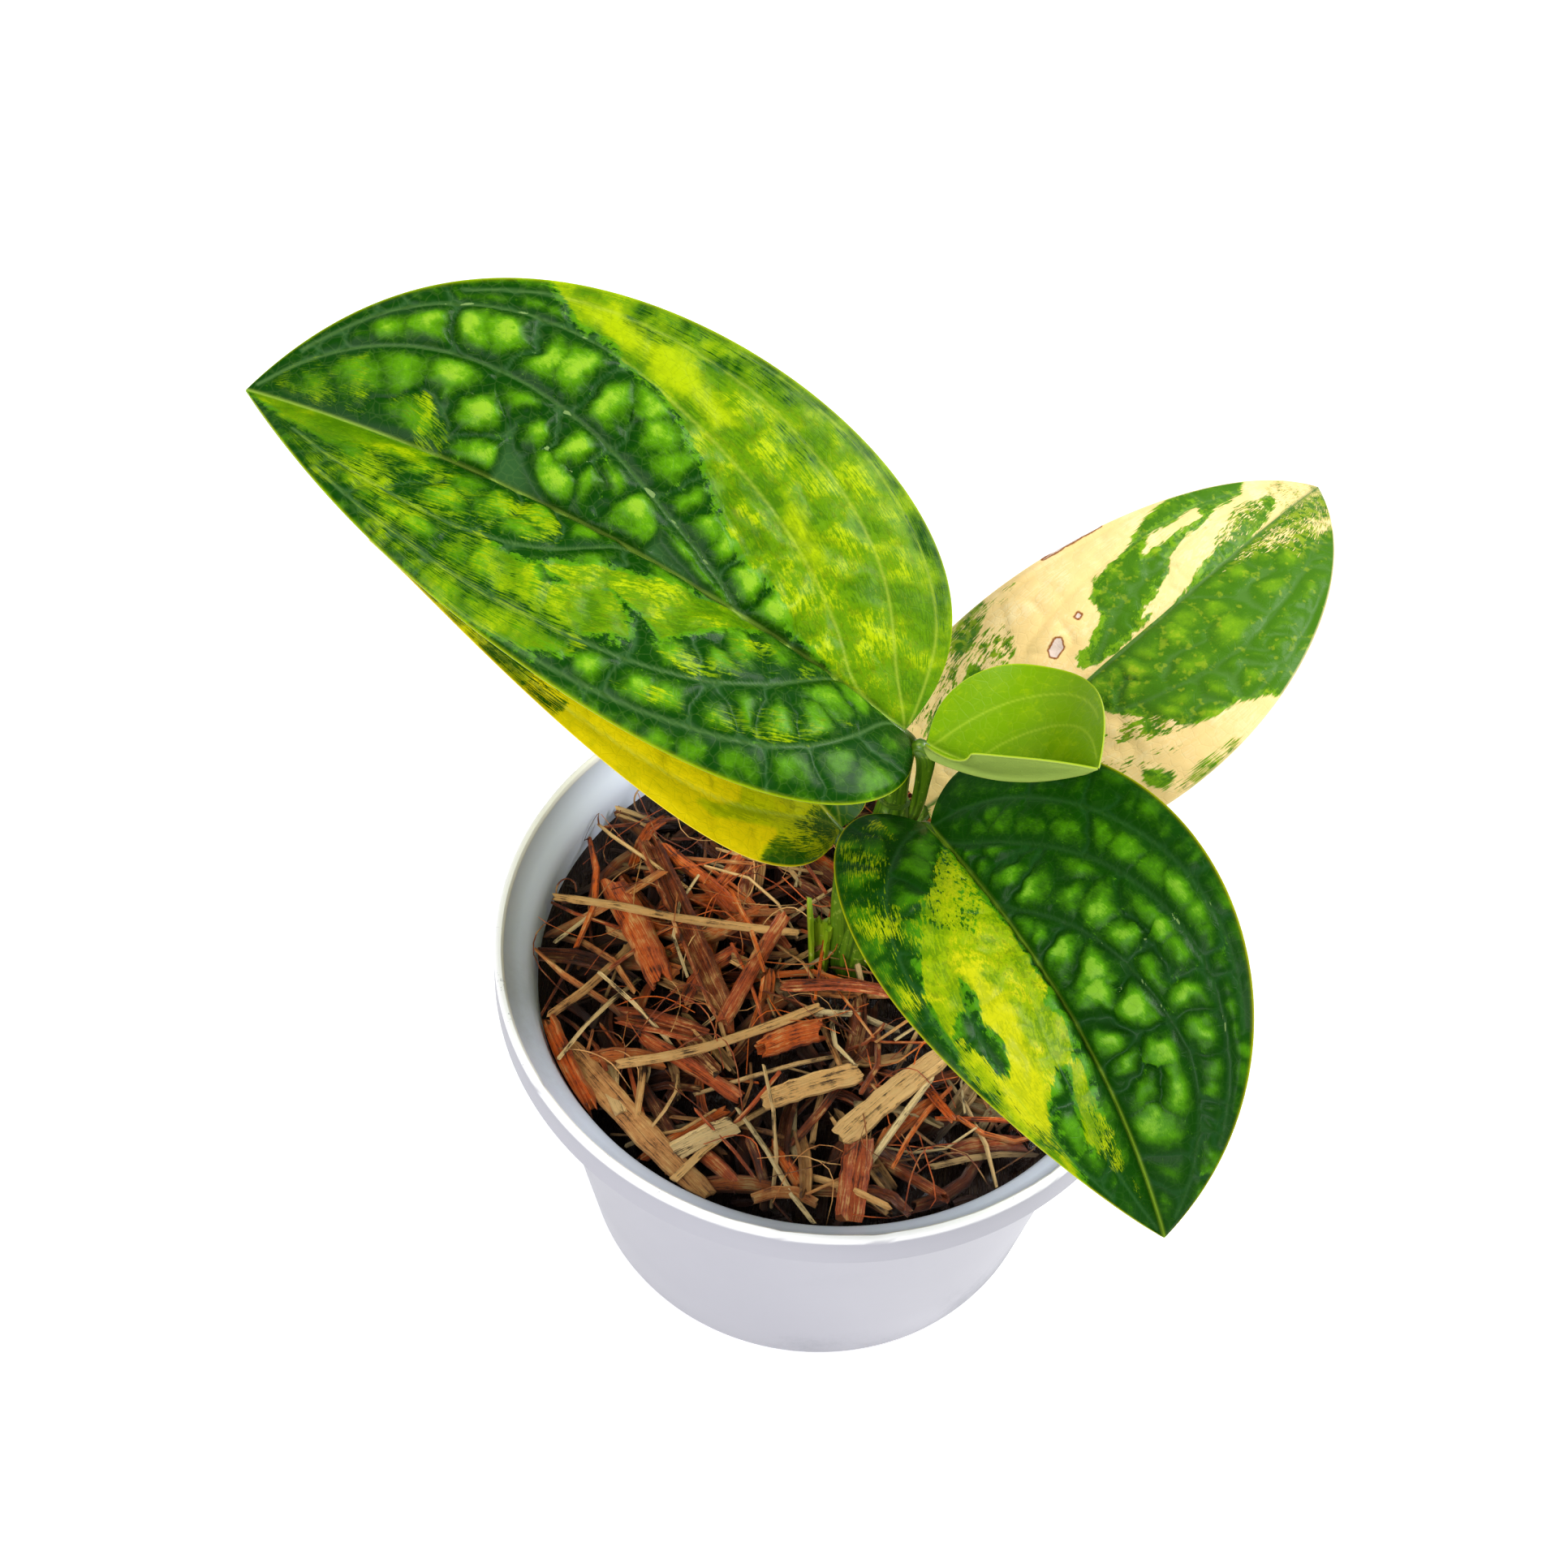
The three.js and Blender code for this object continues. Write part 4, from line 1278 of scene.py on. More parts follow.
class Scatter(Growth):
    """Lays chips on a disc, along the wall where they are near it."""

    NUMBERS = ("Density", "Tilt", "Low", "High", "Tint Low", "Tint High", "Reach")
    WALL_ZONE = 16 * MM

    def __init__(self) -> None:
        """Builds the tree, which scatters, turns, lifts and colours the chips."""
        kinds = {**dict.fromkeys(self.NUMBERS, "Float"), "Seed": "Int", "Chips": "Collection"}
        super().__init__("lay_chips", kinds)
        sockets = {"Mesh": self.given("Geometry"), **{name: self.given(name) for name in ("Density", "Seed")}}
        points = self.node("GeometryNodeDistributePointsOnFaces", {}, sockets)
        spot = self.node("GeometryNodeInputPosition", {}, {})
        x, y = (self.node("ShaderNodeSeparateXYZ", {}, {0: spot}, axis) for axis in (0, 1))
        reach = self.given("Reach")
        sockets = {0: (x * x + y * y) ** 0.5, 1: reach - self.WALL_ZONE, 2: reach}
        wall = self.node("ShaderNodeMapRange", {}, sockets)
        free = self.draw(-math.pi, math.pi, 1)
        ring = x.math("ARCTAN2", y, x) + math.pi / 2
        yaw = free * (1 - wall) + (ring + free * 0.14) * wall
        tilt = self.given("Tilt")
        lean, roll = self.draw(tilt * -1, tilt, 2), self.draw(-0.7, 0.7, 3)
        turn = self.node("ShaderNodeCombineXYZ", {}, {0: roll, 1: lean, 2: yaw})
        lift = self.draw(self.given("Low"), self.given("High"), 4)
        offset = self.node("ShaderNodeCombineXYZ", {}, {2: lift})
        points = self.node("GeometryNodeSetPosition", {}, {"Geometry": points, "Offset": offset})
        chips = self.node("GeometryNodeCollectionInfo", {}, {0: self.given("Chips"), 1: True, 2: True})
        sockets = {"Points": points, "Instance": chips, "Pick Instance": True, "Rotation": turn}
        sockets["Scale"] = self.draw(0.8, 1.2, 5)
        laid = self.node("GeometryNodeInstanceOnPoints", {}, sockets)
        tint = self.draw(self.given("Tint Low"), self.given("Tint High"), 6)
        store = {"data_type": "FLOAT", "domain": "INSTANCE"}
        sockets = {"Geometry": laid, "Name": "tint", "Value": tint}
        self.close(self.node("GeometryNodeStoreNamedAttribute", store, sockets))

    def draw(self, low: Link | float, high: Link | float, offset: int) -> Link:
        """Draws a seeded number for each chip."""
        sockets = {2: low, 3: high, "Seed": self.given("Seed") + offset}
        return self.node("FunctionNodeRandomValue", {"data_type": "FLOAT"}, sockets, 1)


class Drill(Growth):
    """Cuts a ring of drainage holes."""

    def __init__(self) -> None:
        """Builds the tree, which takes a ring of cylinders from the geometry."""
        kinds = {"Holes": "Int", "Sides": "Int", "Ring": "Float", "Hole": "Float", "Depth": "Float"}
        super().__init__("drill_ring", kinds)
        sockets = {"Vertices": self.given("Holes"), "Radius": self.given("Ring")}
        ring = self.node("GeometryNodeMeshCircle", {}, sockets)
        wanted = {"Vertices": "Sides", "Radius": "Hole", "Depth": "Depth"}
        drill = self.node("GeometryNodeMeshCylinder", {}, {k: self.given(v) for k, v in wanted.items()})
        placed = self.node("GeometryNodeInstanceOnPoints", {}, {"Points": ring, "Instance": drill})
        drills = self.realize(placed)
        settings = {"operation": "DIFFERENCE", "solver": "EXACT"}
        sockets = {"Mesh 1": self.given("Geometry"), "Mesh 2": drills}
        self.close(self.node("GeometryNodeMeshBoolean", settings, sockets))


@dataclass(frozen=True)
class Sprinkle:
    """A layer of one kind of chip that Geometry Nodes lay over the bed."""

    name: str
    forms: tuple[ChipForm, ...]
    length: Point
    width: Point
    density: float
    height: Point
    reach: float
    tilt: float
    tint: Point
    seed: int
    sides: int
    rings: int = 4
    curl: float = 0.12
    kinds: int = 8

    def prototypes(self, blank: bpy.types.Material) -> bpy.types.Collection:
        """Makes the few chips that the layer repeats.

        Args:
            blank: a plain material, as the chips take their finish later.

        Returns:
            A collection of them, outside the scene.
        """
        draw = np.random.default_rng(self.seed)
        kinds = bpy.data.collections.new(self.name + "_kinds")
        for i in range(self.kinds):
            length, width = draw.uniform(*self.length), draw.uniform(*self.width)
            bend, hump = draw.uniform(-self.curl, self.curl, 2) * length
            hump = abs(hump) * 0.4
            path = ((-length / 2, 0, 0), (-length / 6, bend, hump), (length / 6, bend, hump),
                    (length / 2, -bend * 0.6, 0))
            form = self.forms[i % len(self.forms)]
            chip = Chip(form, path, width, 0.5, self.seed + i, self.rings, self.sides, 0.5)
            made = chip.shell().build(f"{self.name}_{i}", blank, 40)
            bpy.context.scene.collection.objects.unlink(made)
            made.data.attributes.remove(made.data.attributes["tint"])
            kinds.objects.link(made)
        return kinds


@dataclass(frozen=True)
class Husk:
    """The chopped husk: a bed painted near black as the shade between the chips, layers of chips, and the
    chips that stand out.
    """

    finish: HuskFinish
    floor: float = 2.3
    wall_foot: float = 54.5
    wall_top: float = 66.3
    surface: float = 81.5
    crown: float = 1.0
    room: float = 65.6
    NODE = "potting_mix"
    WALL_FLARE = 0.1387
    FLARE_FROM = 82
    FLARE_HEIGHT = 8
    LOWEST_CHIP = 76.0

    def bed(self) -> Shell:
        """Turns the body of the mix, with a crumbly top.

        Returns:
            The closed shell.
        """
        sides, rings = 120, 36
        radii = np.linspace(0.0, self.wall_top - 0.35, rings + 1)[1:][::-1]
        rows = [(self.wall_foot, self.floor), (self.wall_top, self.surface - 0.6)]
        rows += [(r, self.surface + self.crown * (1 - (r / 66) ** 2)) for r in radii]
        points = lathe(rows, sides)
        top = slice(2 * sides, None)
        rough = ripple(points[top, :2], 5, 5) + 0.7 * ripple(points[top, :2], 2.4, 6)
        inward = rise(66 - np.linalg.norm(points[top, :2], axis=1), 0, 4)
        points[top, 2] += (0.75 * rough - 3.0) * inward
        points = np.vstack([points, [[0, 0, self.floor], [0, 0, self.surface + self.crown]]])
        # Painted shade: the bed is tinted near black, the shade seen deep between the chips.
        dark = {"tint": np.full(len(points), 0.02)}
        return Shell(points, closed_faces(len(rows), sides), points[:, :2].copy(), dark)

    def layers(self) -> tuple[Sprinkle, ...]:
        """Lists the layers of loose chips.

        Returns:
            The layers from the bottom up.
        """
        tube, trough, flake, stick = ChipForm.TUBE, ChipForm.TROUGH, ChipForm.FLAKE, ChipForm.STICK
        crumbs, tubes, flakes = (flake, stick), (tube, trough, tube), (flake, trough)
        rows = (
            # The crumbs' tints run from the near black of painted shade to dark bark.
            ("crumbs", crumbs, (4, 9), (1.4, 3.0), 32000, (-3.0, -0.6), 64, 0.5, (0.0, 0.3), 3, 6, 2),
            ("tubes", tubes, (12, 24), (2.6, 4.8), 8500, (-0.4, 4.0), 60, 0.2, (0.1, 0.6), 11, 8),
            ("flakes", flakes, (10, 22), (2.0, 4.4), 9000, (0.0, 4.6), 61, 0.3, (0.08, 1.0), 21, 10),
            ("sticks", (stick,), (12, 34), (0.8, 2.0), 16000, (1.0, 5.6), 60, 0.24, (0.14, 1.0), 31, 5, 5),
            ("fibres", (stick,), (12, 26), (0.22, 0.42), 13000, (2.0, 6.0), 60, 0.35, (0.1, 0.8), 41, 3, 9,
             0.5),
        )
        return tuple(Sprinkle("husk_" + row[0], *row[1:]) for row in rows)

    def sprinkle(self, layer: Sprinkle, tree: Scatter, material: bpy.types.Material) -> None:
        """Lays one layer of chips and keeps it inside the pan's wall.

        Args:
            layer: the chips and how they lie.
            tree: the nodes that lay them.
            material: the husk's finish.
        """
        disc = lathe([(layer.reach, self.surface)], 48)
        piece = Shell(disc, [list(range(len(disc)))], disc[:, :2], {}).build(layer.name, material)
        blank = bpy.data.materials.new("blank")
        kinds = layer.prototypes(blank)
        low, high = layer.height
        values = {"Density": float(layer.density), "Seed": layer.seed, "Tilt": layer.tilt, "Low": low * MM,
                  "High": high * MM, "Tint Low": layer.tint[0], "Tint High": layer.tint[1],
                  "Reach": layer.reach * MM, "Chips": kinds, "Finish": material}
        tree.grow(piece, values)
        for made in list(kinds.objects):
            bpy.data.objects.remove(made)
        bpy.data.collections.remove(kinds)
        bpy.data.materials.remove(blank)
        self.keep_in(piece)

    def keep_in(self, piece: bpy.types.Object) -> None:
        """Presses what would pass through the pan's wall against its inside, and hands the piece over.

        Args:
            piece: the chips.
        """
        points = np.zeros(len(piece.data.vertices) * 3)
        piece.data.vertices.foreach_get("co", points)
        points = points.reshape(-1, 3) / MM
        away = np.linalg.norm(points[:, :2], axis=1)
        room = self.room + self.WALL_FLARE * np.clip(points[:, 2] - self.FLARE_FROM, 0, self.FLARE_HEIGHT)
        points[:, :2] *= np.minimum(1, room / np.maximum(away, 1e-6))[:, None]
        points[:, 2] = np.maximum(points[:, 2], self.LOWEST_CHIP)
        piece.data.vertices.foreach_set("co", (points * MM).ravel())
        piece.data.update()
        place(piece, self.NODE)

    def standing_out(self) -> list[Chip]:
        """Lists the chips that the eye finds first.

        Returns:
            The chips, where the photo has them.
        """
        tube, trough, flake, stick = ChipForm.TUBE, ChipForm.TROUGH, ChipForm.FLAKE, ChipForm.STICK
        rows = (
            (trough, ((-44.5, 26.8, 87.5), (-33, 4, 88.5), (-21.7, -18.5, 88)), 6.4, 0.16),
            (tube, ((-51.6, 15.8, 85.5), (-44, 3, 87), (-37.2, -9.4, 86)), 7.2, 0.33),
            (stick, ((-64.4, 9.7, 87), (-50, 7, 90), (-36.1, 4.6, 91), (-20, 4.4, 90), (-7.7, 6.3, 87)),
             2.2, 0.74),
            (flake, ((5.6, -45.6, 87.5), (16, -34, 88.8), (26.3, -23, 88.5)), 6.0, 0.86),
            (flake, ((-31.8, -54.1, 86.5), (-24, -49, 87.8), (-17.2, -44.6, 87.2)), 5.0, 0.93),
            (flake, ((-55.5, -28.9, 86), (-38, -47, 87.2), (-21.1, -61.9, 86)), 6.0, 0.66),
            (flake, ((9, -64.4, 87), (9.4, -55, 88), (10, -46.1, 87.5)), 6.5, 0.3),
            (trough, ((-61.6, -23.4, 87), (-56, -34, 87.6), (-49.3, -44.7, 87)), 6.6, 0.4),
            (tube, ((-22.4, -20.1, 88), (-17, -5, 88.5), (-11.6, 9.5, 88)), 3.8, 0.3),
            (stick, ((-44, -33.6, 88.5), (-28, -29, 89.6), (-12, -21, 90), (-1.4, -14.1, 89)), 2.6, 0.8),
            (flake, ((-11.6, -38.5, 87.5), (-2, -34, 88.6), (8.8, -29.1, 88)), 5.0, 0.78),
            (tube, ((-12.9, -25.3, 87.6), (-7, -22, 88), (-0.9, -19.3, 87.6)), 5.5, 0.36),
            (trough, ((-45, -19.9, 86.5), (-36, -21.5, 87.4), (-26.6, -23.1, 87)), 5.8, 0.28),
            (trough, ((-10.4, -9.5, 88.6), (5, -8.2, 89.6), (20, -9, 88.4)), 3.4, 0.3),
            (tube, ((-40, -24, 85.5), (-28, -31, 86.4), (-17, -37, 85.5)), 3.6, 0.36),
        )
        return [Chip(*row, seed=300 + i, rings=13, sides=12, rag=0.3) for i, row in enumerate(rows)]

    def curls(self) -> list[Chip]:
        """Bends the thin curled fibres by the pan's inner wall.

        Returns:
            The fibres.
        """
        chips = []
        for i, (x, y, size) in enumerate(((-60.0, 31.5, 3.4), (-61.8, 12.0, 2.6), (-47, 40, 3.0))):
            turn = np.linspace(0, 5.2, 8)
            across, along = x + size * np.cos(turn) * 0.9, y + size * np.sin(turn)
            rows = np.stack([across, along, 86.5 + size * 0.5 * np.sin(turn)], 1)
            chips.append(Chip(ChipForm.STICK, rows, 0.45, 0.12, 400 + i, 22, 4, 0.1))
        return chips

    def make(self) -> None:
        """Builds the bed, the layers and the chips that stand out."""
        material = self.finish.material()
        place(self.bed().build("husk_bed", material), self.NODE)
        tree = Scatter()
        for layer in self.layers():
            self.sprinkle(layer, tree, material)
        chosen = join([chip.shell() for chip in self.standing_out() + self.curls()])
        self.keep_in(chosen.build("husk_chosen", material, 42))


@dataclass(frozen=True)
class Pan:
    """The white nursery pan: tapered wall, rolled rim, hanging collar and a floor with holes."""

    finish: PanFinish
    holes: int = 8
    ring: float = 40.0
    hole: float = 4.0
    segments: int = 192
    nicks: int = 26
    RIM_FROM = 94
    NICK_WIDTH = 0.00035
    OVAL = 0.0022
    OUTSIDE = (
        (0.01, 0), (30, 0), (53.2, 0), (54.6, 0.15), (55.6, 0.6), (56.2, 1.3), (56.5, 2.2), (59.5, 23),
        (62.5, 45), (65.5, 67.2), (68.2, 86.3), (68.9, 87.8), (70.2, 89.4), (71.6, 91.2), (72.5, 91.75),
        (73.3, 91.5), (73.65, 90.6), (73.75, 87.2), (74.0, 86.9), (75.1, 86.9), (75.35, 87.2), (75.25, 91),
        (75.1, 94.7), (74.95, 95.4), (74.5, 95.9), (74, 96), (73.5, 95.95), (73.05, 95.5),
    )
    INSIDE = (
        (72.85, 94.8), (71.6, 92.2), (69.9, 90.6), (68.2, 89.2), (67.2, 87.8), (66.6, 86.2), (63.9, 67.2),
        (60.9, 45), (57.9, 23), (55.3, 4.6), (54.6, 3.0), (53, 2.3), (30, 2.2), (0.01, 2.2),
    )

    def make(self) -> None:
        """Turns the wall, nicks the rim and drills the floor."""
        points = lathe([*self.OUTSIDE, *self.INSIDE], self.segments)
        around = np.arctan2(points[:, 1], points[:, 0])
        draw = np.random.default_rng(9)
        rim = points[:, 2] > self.RIM_FROM
        for turn, deep in zip(draw.uniform(0, 2 * math.pi, self.nicks), draw.uniform(0.12, 0.5, self.nicks)):
            points[:, 2] -= deep * np.exp(-((1 - np.cos(around - turn)) / self.NICK_WIDTH)) * rim
        oval = self.OVAL * np.cos(2 * around + 0.6) * rise(points[:, 2], 10, 96)
        points[:, :2] *= (1 + oval)[:, None]
        # The rim top's mask places the painted white highlight.
        low, lip = 1 - rise(points[:, 2], 2, 30), rise(points[:, 2], 94.75, 95.45)
        inner = np.repeat([0.0, 1.0], [len(self.OUTSIDE) * self.segments, len(self.INSIDE) * self.segments])
        dirt = np.maximum(0.7 * low, 0.25 * inner) * (1 - lip)
        # dirt is real dirt; the rim top's and the inside's masks are for the painted highlight and the
        # painted bluish shade tint.
        worn = {"dirt": dirt, "lip": lip, "inner": inner * (1 - lip)}
        faces = sweep_faces(len(self.OUTSIDE) + len(self.INSIDE), self.segments)
        material = self.finish.material()
        piece = Shell(points, faces, points[:, 1:].copy(), worn).build("pan", material)
        values = {"Holes": self.holes, "Sides": 32, "Ring": self.ring * MM, "Hole": self.hole * MM,
                  "Depth": 20 * MM, "Finish": material}
        Drill().grow(piece, values)
        piece.data.shade_smooth()
        piece.data.set_sharp_from_angle(angle=math.radians(38))
        place(piece, "pot")


@dataclass(frozen=True)
class Stem:
    """The short leaning stem with its leaf scars."""

    finish: StalkFinish
    rows: tuple[Row, ...] = (
        (4.4, 3.2, 60, 4.0), (4.7, 3.7, 72, 4.4), (5, 4.2, 84, 4.8), (6.1, 6.1, 94, 4.7),
        (7.3, 8.2, 104, 4.4), (9.6, 12.2, 122, 4.1), (10.5, 14, 130, 3.4),
    )
    scars: tuple[float, ...] = (88, 97, 108, 118)

    def make(self) -> None:
        """Sweeps the stem and swells it at its scars."""
        rows = np.array(self.rows)
        tube = Tube(rows, sides=28, flute=0.02, seed=4, steps=14).shell()
        for height in self.scars:
            level = tube.points[:, 2]
            middle = np.stack([np.interp(level, rows[:, 2], rows[:, i]) for i in (0, 1)], 1)
            tube.points[:, :2] += (tube.points[:, :2] - middle) * (0.06 * bell(level - height, 0.7))[:, None]
        place(tube.build("stem_cane", self.finish.material(), 60), "stem")


@dataclass(frozen=True)
class CutStalk:
    """The foot of a leaf stalk that was cut off: a channel open to the front, torn at the top."""

    finish: StalkFinish
    foot: Spot = (-2.2, -0.2, 72)
    top: Spot = (-3.4, 5.4, 103.5)
    outer: float = 2.7
    inner: float = 1.75
    notch: float = 9.0
    rows: int = 40
    arc_steps: int = 22
    ARC = (math.radians(-52), math.radians(232))
    HALF_ARC = math.radians(142)
    PRONG = math.radians(196)

    def make(self) -> None:
        """Sweeps the channel's section, tears its upper edge and hands it to the frame."""
        arc = np.linspace(*self.ARC, self.arc_steps)
        outer = np.stack([self.outer * np.cos(arc), self.outer * np.sin(arc)], 1)
        inner = np.stack([self.inner * np.cos(arc[::-1]), self.inner * np.sin(arc[::-1]) - 0.25], 1)
        outline = np.vstack([outer, inner])
        foot, top = np.array(self.foot), np.array(self.top)
        ahead = unit(top - foot)
        side = unit(np.array([1.0, 0, 0]) - ahead * ahead[0])
        back = np.cross(ahead, side)
        length = float(np.linalg.norm(top - foot))
        turn = np.concatenate([arc, arc[::-1]])
        share = np.abs(turn - math.pi / 2) / self.HALF_ARC
        prong = bell(turn - self.PRONG, 0.6)
        tear = self.notch * (1 - prong) + 0.9 * ripple(outline * 3, 3.0, 12) * (1 - 0.7 * prong)
        rings, grain = [], []
        for part in np.arange(self.rows + 1) / self.rows:
            height = length * part - tear * rise(part, 0.5, 1.0)
            spread = 0.8 + 0.2 * rise(part, 0.1, 0.8) + 0.22 * rise(part, 0.6, 1.0) * share
            ring = foot + np.outer(outline[:, 0] * spread, side) + np.outer(outline[:, 1], back)
            rings.append(ring + np.outer(height, ahead))
            grain.append(np.stack([outline[:, 0] * 2, np.full(len(outline), height.mean())], 1))
        faces = sweep_faces(len(rings), len(outline))
        last, far = self.rows * len(outline), 2 * self.arc_steps - 1
        for k in range(self.arc_steps - 1):
            faces.append([k + 1, k, far - k, far - 1 - k])
            faces.append([last + k, last + k + 1, last + far - 1 - k, last + far - k])
        piece = Shell(np.vstack(rings), faces, np.vstack(grain), {})
        place(piece.build("cut_stalk_foot", self.finish.material(), 50), "cut_stalk")


@dataclass(frozen=True)
class Studio:
    """The pale floor, the soft lights and the camera of the photograph."""

    eye: Spot = (0.0, -0.30388, 0.54708)
    ahead: Spot = (-0.0257, 0.6077, -0.7938)
    up: Spot = (-0.0939, 0.7891, 0.6071)
    lens: float = 55.9
    aim: Spot = (0, 0, 0.1)
    floor_reach: float = 4000.0
    LAMPS = (
        ("key", (0.75, 0.35, 0.9), 0.45, 12.0),
        ("fill", (-0.5, -0.85, 0.9), 0.8, 11.5),
        ("back", (-0.7, 0.8, 0.8), 0.9, 1.5),
    )
    SKY = (0.97, 0.985, 1.0, 1.0)
    SKY_STRENGTH = 0.36

    def make(self) -> None:
        """Builds the stage and sets the camera."""
        self.floor()
        for lamp in self.LAMPS:
            self.light(*lamp)
        world = bpy.data.worlds.new("soft_sky")
        world.use_nodes = True
        sky = world.node_tree.nodes["Background"].inputs
        sky["Color"].default_value = self.SKY
        sky["Strength"].default_value = self.SKY_STRENGTH
        bpy.context.scene.world = world
        bpy.context.scene.view_settings.view_transform = "Standard"
        self.camera()

    def floor(self) -> None:
        """Lays a wide plain floor."""
        glow = {"Emission Color": (1.0, 1.0, 1.0, 1.0), "Emission Strength": 0.3}
        white = {"Base Color": (0.96, 0.96, 0.96, 1.0), "Roughness": 0.8}
        material = Paint("studio_floor").close({**white, **glow})
        corners = np.array([(-1.0, -1, 0), (1, -1, 0), (1, 1, 0), (-1, 1, 0)]) * self.floor_reach
        floor = Shell(corners, [[0, 1, 2, 3]], corners[:, :2], {}).build("studio_floor", material)

    def light(self, name: str, spot: Spot, size: float, power: float) -> None:
        """Hangs one soft square light that faces the plant.

        Args:
            name: its name.
            spot: its place in metres.
            size: the length of its sides in metres.
            power: its power in watts.
        """
        lamp = bpy.data.lights.new(name, "AREA")
        lamp.size = size
        lamp.energy = power
        held = bpy.data.objects.new(name, lamp)
        held.location = spot
        held.rotation_euler = (Vector(self.aim) - Vector(spot)).to_track_quat("-Z", "Y").to_euler()
        bpy.context.scene.collection.objects.link(held)

    def camera(self) -> None:
        """Sets the camera at the photograph's viewing angle."""
        data = bpy.data.cameras.new("photo_view")
        data.lens = self.lens
        data.sensor_width = 36.0
        data.clip_start = 0.01
        ahead = Vector(self.ahead).normalized()
        right = ahead.cross(Vector(self.up)).normalized()
        turn = Matrix((right, right.cross(ahead), -ahead)).transposed().to_4x4()
        camera = bpy.data.objects.new("photo_view", data)
        camera.matrix_world = Matrix.Translation(self.eye) @ turn
        bpy.context.scene.collection.objects.link(camera)
        bpy.context.scene.camera = camera


PALE, GREEN, FLECKED = Patch.PALE, Patch.GREEN, Patch.FLECKED
SMOOTH, SCAR, GOLD = Patch.SMOOTH, Patch.SCAR, Patch.GOLD


